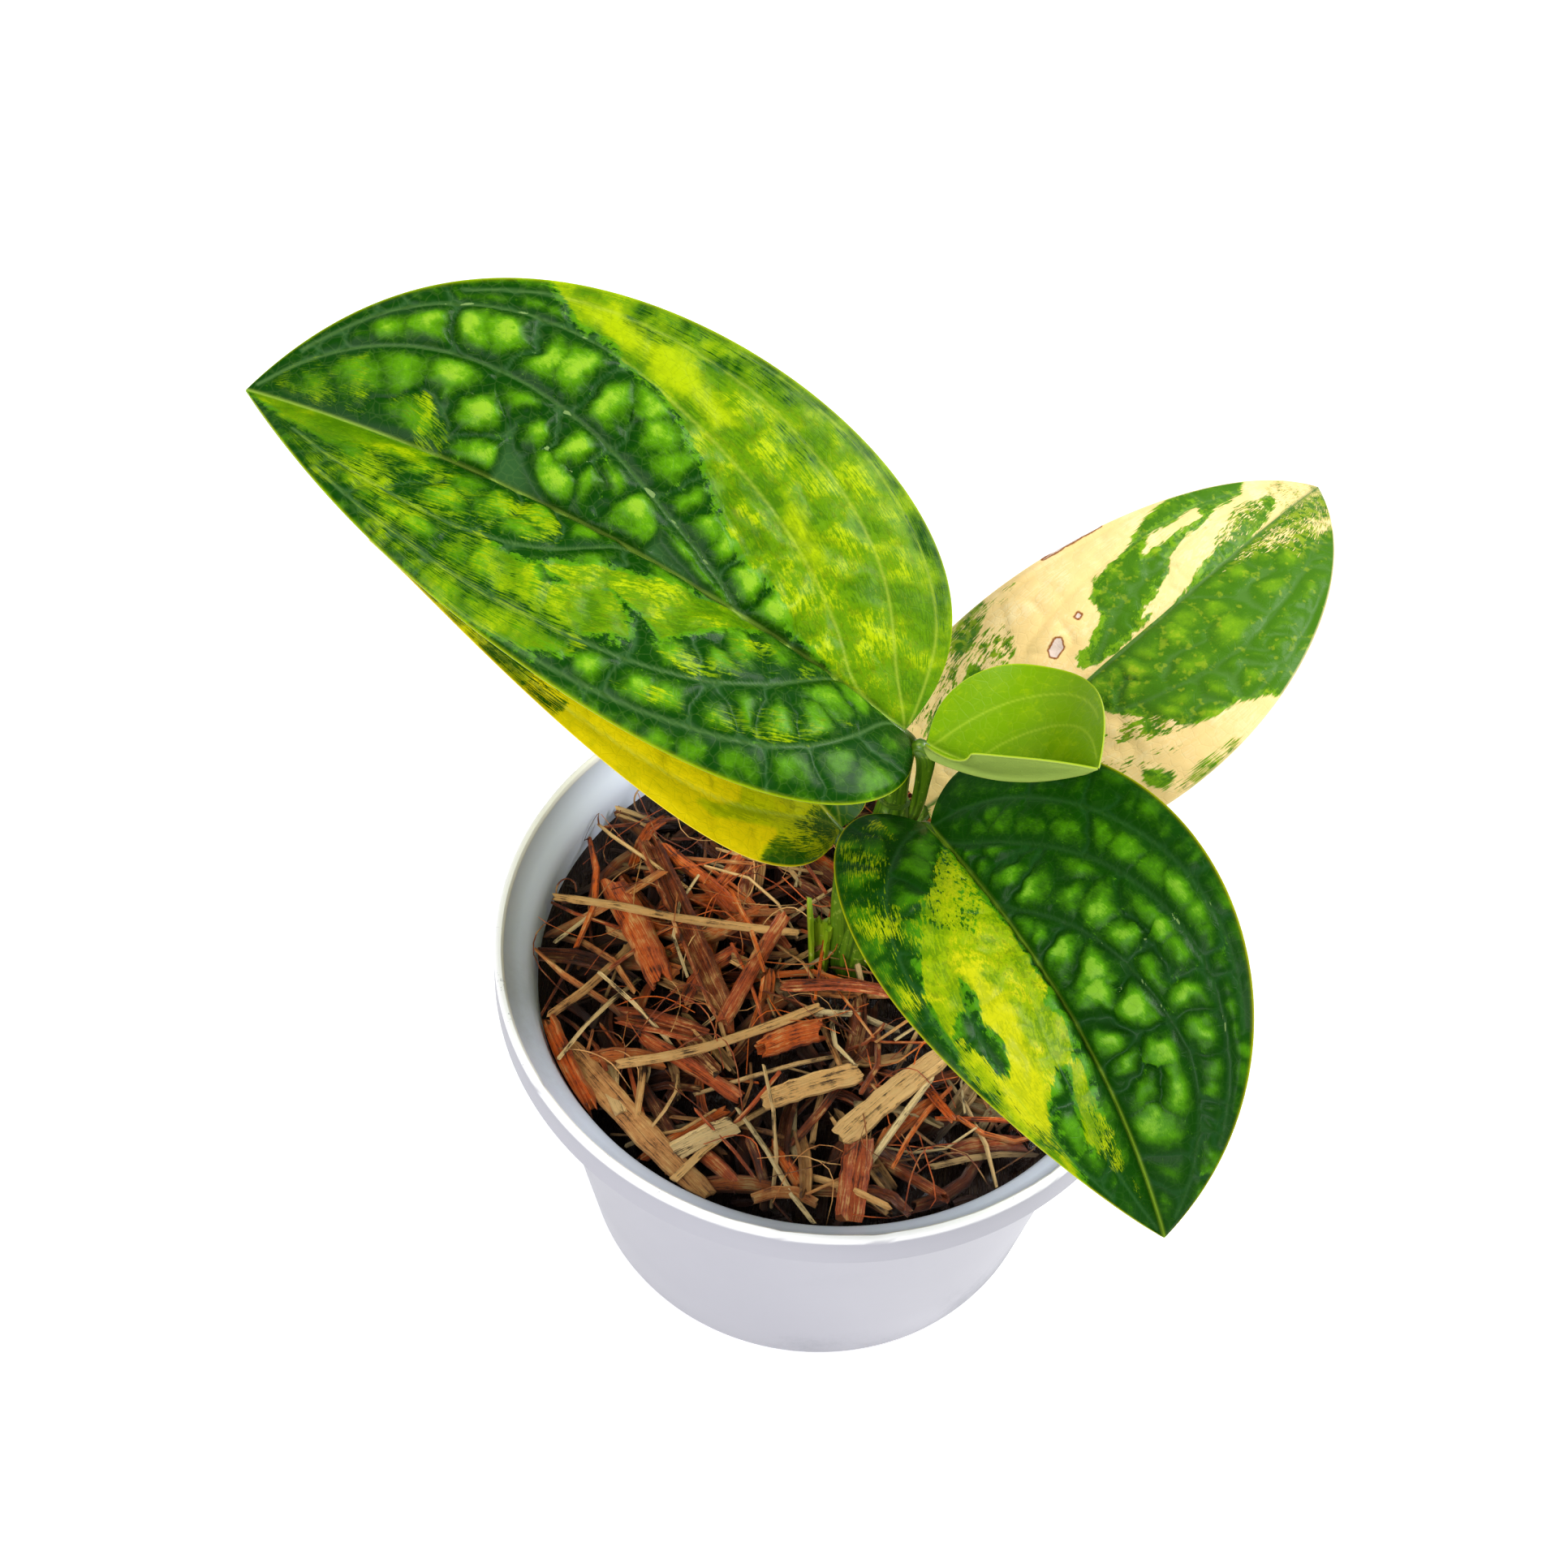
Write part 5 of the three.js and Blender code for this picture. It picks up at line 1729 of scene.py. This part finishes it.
def leaves() -> list[Leaf]:
    """Describes the five leaves with their veins, domes and patches.

    Returns:
        The leaves, the largest first.
    """
    lime = LeafFinish(
        "leaf_green_lime", crease=srgb(70, 112, 62), deep=srgb(12, 64, 0), bright=srgb(92, 156, 6),
        middle=srgb(156, 200, 48), pale=srgb(100, 146, 0), glow=srgb(180, 202, 2), shade=srgb(54, 104, 0),
        vein=srgb(112, 148, 70), under=srgb(140, 170, 100), spine=srgb(168, 200, 70), line=0.85,
        rib=srgb(176, 196, 60),
    )
    golden = LeafFinish(
        "leaf_golden", crease=srgb(60, 92, 20), deep=srgb(34, 80, 4), bright=srgb(100, 136, 8),
        middle=srgb(150, 166, 10), pale=srgb(206, 208, 2), glow=srgb(255, 224, 6), shade=srgb(120, 144, 0),
        vein=srgb(176, 184, 50), under=srgb(196, 196, 100), spine=srgb(204, 206, 60), mottle=0.55, line=0.6,
        soft=0.3, thin=0.0, spread=0.3,
    )
    cream = LeafFinish(
        "leaf_cream", crease=srgb(92, 132, 62), deep=srgb(68, 118, 18), bright=srgb(120, 168, 22),
        middle=srgb(168, 186, 40), pale=srgb(250, 216, 146), glow=srgb(255, 230, 172),
        shade=srgb(238, 206, 132), vein=srgb(62, 104, 44), under=srgb(222, 212, 156),
        spine=srgb(92, 122, 62), mottle=0.3, net=0.04, freckle=0.55, line=0.6, soft=0.25, thin=0.0,
        streaks=(56, 26), rib=srgb(244, 206, 130),
    )
    front = LeafFinish(
        "leaf_green_yellow", crease=srgb(38, 82, 40), deep=srgb(16, 64, 2), bright=srgb(78, 144, 8),
        middle=srgb(138, 190, 50), pale=srgb(138, 166, 0), glow=srgb(200, 200, 14), shade=srgb(66, 116, 0),
        vein=srgb(64, 106, 40), under=srgb(136, 166, 96), spine=srgb(150, 186, 44), line=0.6, soft=0.5,
        streaks=(84, 38), rib=srgb(150, 176, 10),
    )
    young = LeafFinish(
        "leaf_lime", crease=srgb(112, 150, 14), deep=srgb(112, 154, 2), bright=srgb(134, 168, 2),
        middle=srgb(150, 180, 6), pale=srgb(128, 166, 2), glow=srgb(170, 194, 10), shade=srgb(100, 144, 2),
        vein=srgb(190, 212, 60), under=srgb(164, 184, 96), spine=srgb(192, 214, 70), net=0.06, rim=0.95,
        line=1.1, rib=srgb(200, 218, 70),
    )
    large_veins_far = (
        trace(38, 0, 45, 10, 53, 21, 64, 42, 77, 67, 87, 83, 95, 90),
        trace(10, 0, 18, 6, 26, 22, 36, 37, 51, 57, 62, 75, 73, 88, 87, 95),
        trace(0, 2, 5, 21, 15, 38, 28, 63, 45, 81, 59, 90, 72, 95),
        trace(0, 30, 4, 55, 13, 78, 21, 86, 35, 94, 50, 97),
    )
    large_far_domes = trace(
        79, 83, 75, 79, 72, 76, 69, 72, 66, 62, 63, 59, 60, 50, 56, 56, 55, 47, 52, 38, 50, 29, 47, 24,
        44, 20, 40, 15, 34, 11, 79, 56, 75, 48, 80, 25, 73, 29, 73, 12, 68, 39, 67, 30, 63, 28, 59, 20,
        55, 14, 65, 12, 61, 17, 84, 59, 89, 65, 70, 91, 67, 86, 65, 81, 58, 90, 54, 85, 49, 75, 39, 67,
        34, 57,
    )
    lime_zone = trace(
        66, 110, 64, 91, 63, 82, 60, 77, 59, 69, 56, 66, 54, 59, 52, 52, 50, 45, 48, 36, 46, 30, 44, 25,
        40, 18, 38, 20, 34, 14, 31, 7, 27, 6, 18, 0, 0, 0, 0, 110, 30, 115,
    )
    large_far = Half(
        width=55.2, fold=33.2, camber=7.5, lobe=5, gather=1.16, veins=large_veins_far,
        swell=(2.4, 2.3, 1.2, 0.6, 0.35), domes=large_far_domes,
        patches=(
            (PALE, lime_zone),
            patch(FLECKED, 93, 81, 88, 90, 82, 69, 83, 43, 86, 18, 92, 31),
            patch(FLECKED, 82, 35, 78, 40, 76, 20, 78, 4, 81, 1, 83, 18),
            patch(FLECKED, 50, 94, 46, 105, 34, 105, 15, 102, 10, 86, 24, 82, 33, 91),
            patch(FLECKED, 45, 81, 41, 81, 39, 69, 41, 67, 45, 72),
            patch(FLECKED, 60, 84, 58, 105, 42, 105, 44, 86, 50, 84),
            patch(GOLD, 65, 94, 62, 82, 56, 70, 50, 60, 48, 66, 54, 82, 60, 92),
            patch(GOLD, 38, 38, 34, 36, 33, 44, 38, 54, 42, 54),
            patch(FLECKED, 30, 98, 14, 98, 8, 82, 20, 84),
            patch(SMOOTH, 73, 0, 65, 0, 70, 24),
            patch(SMOOTH, 53, 2, 42, 0, 52, 12),
        ),
    )
    large_near = Half(
        width=43.6, fold=23.9, camber=21.6, lobe=18.1, gather=1.55,
        veins=(
            trace(52, 0, 56, 5, 62, 38, 68, 56, 74, 66, 86, 82),
            trace(20, 0, 36, 44, 48, 67, 61, 80, 66, 84, 80, 92),
            trace(0, 2, 5, 9, 21, 51, 34, 75, 45, 86, 55, 93, 65, 98),
        ),
        swell=(1.1, 1.2, 1.4, 0.8),
        domes=trace(
            68, 27, 65, 18, 65, 69, 62, 64, 67, 75, 57, 57, 55, 55, 47, 56, 43, 45, 39, 30, 34, 21, 54, 86,
            50, 84, 47, 80, 42, 78, 39, 67, 35, 65, 30, 59, 44, 91, 39, 88, 34, 82, 26, 71,
        ),
        patches=(
            patch(PALE, 100, 90, 94, 1, 86, 5, 79, 5, 78, 24, 81, 36, 83, 67),
            patch(PALE, 69, 78, 66, 57, 62, 53, 61, 70, 62, 74, 66, 79),
            patch(PALE, 61, 49, 56, 28, 48, 12, 40, 2, 34, 0, 43, 27, 49, 53, 51, 45, 55, 39, 58, 50),
            patch(PALE, 60, 65, 58, 48, 55, 41, 53, 49, 52, 60, 56, 72, 60, 81),
            patch(PALE, 69, 94, 63, 85, 57, 77, 56, 84, 59, 93, 63, 96, 67, 98),
            patch(
                FLECKED, 89, 89, 83, 68, 80, 34, 76, 7, 71, 28, 66, 60, 60, 60, 55, 78, 63, 95, 74, 97,
                81, 96,
            ),
            patch(FLECKED, 72, 25, 69, 14, 64, 7, 61, 28, 64, 41, 68, 53),
            patch(FLECKED, 49, 60, 43, 35, 33, 10, 22, 10, 36, 41, 45, 61),
            patch(FLECKED, 52, 85, 45, 74, 33, 55, 20, 45, 30, 69, 42, 80),
        ),
    )
    front_yellow = trace(
        19, 10, 32, 32, 36, 40, 38, 49, 42, 61, 47, 70, 52, 81, 56, 86, 65, 93, 70, 100, 77, 100, 72, 84,
        70, 69, 69, 55, 68, 41, 69, 25, 68, 17, 64, 10, 60, 15, 57, 6, 49, 4, 42, 4, 36, 7, 25, 2,
    )
    front_near = Half(
        width=36.2, fold=28.1, camber=13.1, lobe=24.3, gather=1.41,
        veins=(
            trace(45, 0, 55, 15, 66, 33, 76, 52, 85, 70, 94, 85),
            trace(12, 0, 19, 11, 35, 35, 48, 56, 60, 72, 72, 87, 82, 94),
            trace(0, 5, 10, 30, 26, 56, 41, 77, 54, 87, 66, 94),
        ),
        swell=(0.9, 1.2, 1.0, 0.5),
        patches=(
            (PALE, front_yellow),
            patch(PALE, 69, 27, 70, 18, 74, 24, 78, 39, 78, 64, 76, 66, 73, 48),
            patch(
                GREEN, 56, 75, 56, 66, 52, 57, 54, 55, 58, 61, 61, 60, 63, 65, 65, 76, 63, 82, 60, 86,
                58, 88,
            ),
            patch(FLECKED, 32, 91, 27, 75, 26, 61, 34, 69, 40, 77, 43, 86, 45, 97),
            patch(FLECKED, 38, 75, 35, 52, 41, 57, 46, 69, 45, 80, 41, 76),
            patch(FLECKED, 27, 86, 22, 90, 17, 81, 19, 71, 26, 74),
            patch(FLECKED, 20, 50, 30, 62, 40, 72, 50, 86, 58, 96, 40, 98, 22, 96, 12, 78),
            patch(FLECKED, 59, 83, 66, 84, 74, 91, 72, 98, 61, 95),
            patch(FLECKED, 20, 12, 30, 30, 42, 56, 46, 30, 36, 10, 26, 6),
            patch(GOLD, 50, 48, 57, 70, 66, 90, 76, 100, 71, 72, 64, 48, 56, 34),
            patch(FLECKED, 75, 40, 80, 35, 90, 60, 86, 70, 79, 62),
        ),
    )
    front_far = Half(
        width=42.5, fold=33.2, camber=3.3, lobe=29.7, gather=1.01,
        veins=(
            trace(33, 0, 38, 3, 50, 27, 62, 49, 70, 67, 80, 81, 90, 90),
            trace(10, 0, 17, 8, 27, 27, 42, 54, 53, 71, 63, 83, 77, 95),
            trace(0, 2, 5, 14, 14, 40, 25, 60, 40, 78, 53, 90, 65, 95),
        ),
        swell=(2.2, 2.0, 1.2, 0.7),
        domes=trace(
            52, 14, 57, 24, 61, 20, 63, 41, 69, 17, 72, 23, 69, 48, 75, 33, 73, 56, 80, 44, 85, 60, 92, 56,
            54, 45, 51, 59, 54, 65, 57, 66, 62, 69, 66, 73, 69, 79, 48, 42, 41, 46, 47, 75, 50, 81, 53, 85,
            56, 86, 58, 89, 61, 90, 63, 90, 43, 69, 39, 66,
        ),
        calm_base=0.25, pitch=0.72,
    )
    right_upper = Half(
        width=32.8, fold=16.5, camber=9.4, lobe=8.1, gather=1.47,
        veins=(
            trace(42, 0, 48, 7, 57, 28, 64, 36, 72, 51, 78, 60, 90, 80),
            trace(12, 0, 25, 20, 42, 44, 55, 60, 70, 76, 84, 90),
            trace(0, 10, 12, 40, 30, 70, 50, 88, 66, 95),
        ),
        swell=(0.8, 0.7, 0.5, 0.3),
        patches=(
            patch(
                GREEN, 46, 17, 49, 18, 53, 28, 54, 35, 54, 46, 55, 48, 56, 55, 59, 62, 62, 68, 65, 86,
                68, 96, 71, 110, 79, 110, 78, 81, 74, 66, 72, 52, 69, 51, 66, 40, 65, 30, 62, 19, 60, 14,
                57, 10, 61, 8, 56, 4, 52, 4, 48, 3, 45, 7,
            ),
            patch(PALE, 63, 54, 65, 67, 69, 73, 72, 81, 72, 65, 69, 58, 67, 58),
            patch(
                GREEN, 75, 36, 78, 58, 83, 78, 86, 52, 81, 1, 74, -2, 62, -2, 64, 4, 67, 5, 70, 17, 74, 24,
            ),
            patch(FLECKED, 82, 89, 85, 110, 100, 110, 100, 0, 87, 42),
            patch(FLECKED, 72, 30, 78, 60, 82, 50, 78, 15),
            patch(GREEN, 86, 70, 90, 82, 96, 80, 98, 50, 92, 36, 90, 50),
            patch(GREEN, 88, 10, 93, 30, 97, 12, 92, 0),
            patch(FLECKED, 42, 110, 46, 94, 43, 86, 40, 81, 35, 69, 29, 65, 20, 77, 20, 110),
            patch(FLECKED, 38, 72, 42, 74, 45, 72, 43, 56, 40, 49, 38, 59),
            patch(FLECKED, 46, 97, 50, 94, 48, 87, 47, 87),
            patch(GREEN, 41, 110, 46, 110, 46, 91, 41, 78, 35, 69, 29, 60, 22, 62, 30, 72, 36, 84),
            patch(GREEN, 43, 78, 45, 71, 43, 58, 40, 48, 38, 57, 34, 54, 31, 56, 39, 71),
            patch(SCAR, 45, 34, 46.8, 37, 47.4, 35, 46.3, 29, 44.6, 27, 44.4, 30),
            patch(SCAR, 51, 41, 51.7, 42, 51.8, 39.5, 51.1, 38.5),
            patch(SCAR, 54.5, 98.5, 58.5, 99.2, 61.5, 100, 58.5, 105),
        ),
        ground=14.0, pitch=0.6,
    )
    right_lower = Half(
        width=35.4, fold=13, camber=8, lobe=7.8, gather=1.06,
        veins=(
            trace(33, 0, 42, 28, 48, 42, 57, 60, 62, 66, 73, 78, 86, 90),
            trace(10, 0, 18, 25, 30, 52, 42, 74, 55, 88, 68, 95),
        ),
        swell=(1.0, 0.9, 0.4),
        patches=(
            patch(
                PALE, 0, 5, 30, -20, 42, -20, 42, 27, 43, 37, 44, 47, 45, 66, 48, 77, 51, 82, 53, 93,
                54, 120, 0, 120,
            ),
            patch(GREEN, 43, 93, 45, 94, 48, 98, 49, 110, 43, 110),
            patch(GREEN, 39, 70, 41, 86, 39, 93, 38, 80),
            patch(FLECKED, 71, 9, 74, 15, 76, 46, 73, 68, 77, 88, 81, 110, 98, 90, 96, 2, 81, 10),
            patch(FLECKED, 39, 39, 42, 42, 45, 53, 45, 66, 43, 62, 41, 51, 38, 43),
            patch(FLECKED, 40, 93, 43, 94, 48, 97, 50, 110, 40, 110),
            patch(FLECKED, 36, 53, 39, 61, 44, 74, 43, 76, 37, 65),
        ),
        pitch=0.6,
    )
    side_veins = (
        trace(40, 0, 52, 20, 66, 46, 80, 70, 92, 84), trace(15, 0, 28, 24, 46, 54, 64, 78, 80, 91),
        trace(0, 10, 14, 40, 32, 70, 50, 87, 66, 95),
    )
    left_near = Half(
        width=35.4, fold=16.1, camber=10.7, lobe=6.3, gather=1.53, veins=side_veins,
        swell=(1.3, 1.3, 0.9, 0.4),
        patches=(
            patch(GREEN, 0, -20, 6, -20, 17, 63, 24, 77, 26, 93, 26, 130, 0, 130),
            patch(FLECKED, 75, 105, 70, 91, 64, 83, 58, 90, 59, 105),
            patch(FLECKED, 0, 10, 12, 20, 20, 60, 24, 105, 0, 105),
            patch(
                GREEN, 60, 96, 58, 87, 61, 84, 66, 84, 71, 82, 78, 80, 89, 74, 100, 50, 100, 120, 60, 120,
            ),
            patch(FLECKED, 55, 88, 60, 80, 78, 72, 100, 40, 100, 120, 55, 120),
            patch(
                GOLD, 59, 96, 60, 80, 50, 72, 45, 64, 38, 60, 32, 56, 31, 66, 34, 77, 37, 80, 38, 86,
                35, 86, 31, 79, 24, 71, 23, 81, 26, 88, 26, 110, 60, 110,
            ),
        ),
        ground=14.0,
    )
    left_far = Half(
        width=31, fold=14.2, camber=8.3, lobe=4.5, gather=1.14, veins=side_veins,
        swell=(0.9, 0.9, 0.6, 0.3),
        patches=(
            patch(PALE, 40, -20, 100, -20, 100, 120, 75, 120, 60, 60),
            patch(FLECKED, 40, 0, 75, 50, 75, 110, 40, 110),
        ),
    )
    young_veins = (
        trace(30, 0, 42, 24, 58, 46, 76, 66, 90, 78), trace(4, 0, 16, 30, 34, 56, 56, 78, 76, 90),
    )
    young_near = Half(
        width=26.9, fold=25, camber=0.9, lobe=4.8, gather=1.22, veins=young_veins,
        swell=(0.12, 0.12, 0.05), ground=-2.0,
    )
    young_far = Half(
        width=20.1, fold=48.7, camber=1.2, lobe=3.4, gather=1.15, veins=young_veins,
        swell=(0.12, 0.12, 0.05), ground=-2.0,
    )
    return [
        Leaf(
            name="leaf_large", finish=lime, base=(11.2, 17.2, 150), tip=(-131.3, 56.2, 193), arch=8.9,
            sickle=1, roll=-7.9, twist=6.1, skew=0.2, fullness=7.8, lobe_decay=4.5, left=large_near,
            right=large_far,
            stalk=((10.4, 13.8, 125, 2.6), (11, 15.4, 136, 2.3), (11.8, 16.8, 144.5, 2)), seed=100,
            rows=430, columns=84, valley=0.1, bulge=4.0,
        ),
        Leaf(
            name="leaf_left", finish=golden, base=(-0.4, 11.1, 122), tip=(-115.5, 74.7, 130.6),
            arch=17.5, sickle=0.2, roll=-12.5, twist=-0.8, skew=0.06, fullness=3.9, lobe_decay=4.1,
            left=left_near, right=left_far,
            stalk=(
                (3.2, 3.4, 74, 2.7), (2.3, 3.6, 86, 2.7), (1.4, 5.4, 98, 2.4), (1, 8, 109, 2.1),
                (0.9, 9.9, 116, 1.9),
            ),
            seed=200, rows=260, columns=56, valley=0.2, bulge=4.4,
        ),
        Leaf(
            name="leaf_right", finish=cream, base=(18.3, 26.6, 112), tip=(106.1, 119.9, 130.4),
            arch=17.2, sickle=7.5, roll=-2.6, twist=-3.7, skew=0.6, fullness=2.2, lobe_decay=4,
            left=right_upper, right=right_lower,
            stalk=((7.2, 8, 98, 2.3), (10.4, 13.4, 102.5, 2.1), (14.4, 20.6, 107, 1.9)), seed=300,
            rows=300, columns=60, valley=0.05, bulge=3.4,
        ),
        Leaf(
            name="leaf_front", finish=front, base=(18.4, 9.5, 128), tip=(71.9, -72.3, 107.4), arch=15.9,
            sickle=0.1, roll=-0.9, twist=-4.9, skew=0.5, fullness=3.3, lobe_decay=4.3, left=front_far,
            right=front_near,
            stalk=((8.4, 9.6, 111, 2.3), (12, 9.4, 116.5, 2.1), (15.4, 9.8, 122, 1.9)), seed=400, rows=350,
            columns=76, valley=0.1, bulge=3.4,
        ),
        Leaf(
            name="leaf_young", finish=young, base=(15.7, 11.8, 153), tip=(49.1, -3.5, 169.5), arch=-7.5,
            sickle=-3.7, roll=7.1, twist=4.8, skew=-0.7, fullness=4.9, lobe_decay=3.7, left=young_near,
            right=young_far,
            stalk=(
                (11.4, 13.6, 117, 1.5), (15, 13.6, 127, 1.5), (15.9, 12.8, 139, 1.7), (15.8, 11.6, 148.5, 2),
            ),
            seed=500, rows=200, columns=56,
        ),
    ]


def husk_finish() -> HuskFinish:
    """Gives the chips their tints from a near black that paints shade, over dark bark and red stalks, to
    straw.

    Returns:
        The finish of the husk.
    """
    bark, stalk, straw = srgb(122, 58, 26), srgb(212, 94, 42), srgb(255, 196, 118)
    return HuskFinish("chopped_husk", (
        (0.0, srgb(12, 4, 1)), (0.14, bark), (0.32, stalk), (0.44, srgb(248, 110, 12)),
        (0.58, srgb(208, 128, 64)), (0.78, straw), (1.0, srgb(255, 228, 166)),
    ))


def main() -> None:
    """Builds every sub-assembly and the studio."""
    logging.basicConfig(level=logging.INFO, format="%(message)s")
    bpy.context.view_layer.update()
    skin = StalkFinish("green_stem", srgb(88, 126, 14), srgb(44, 80, 4), srgb(160, 182, 66))
    cut = StalkFinish("cut_stalk", srgb(158, 188, 30), srgb(112, 148, 12), srgb(222, 226, 128), line=40)
    stalk_material = skin.material()
    for leaf in leaves():
        leaf.make(stalk_material)
    Stem(skin).make()
    CutStalk(cut).make()
    Husk(husk_finish()).make()
    Pan(PanFinish("white_plastic", srgb(164, 163, 173), srgb(126, 128, 136))).make()
    Studio().make()


if __name__ == "__main__":
    main()
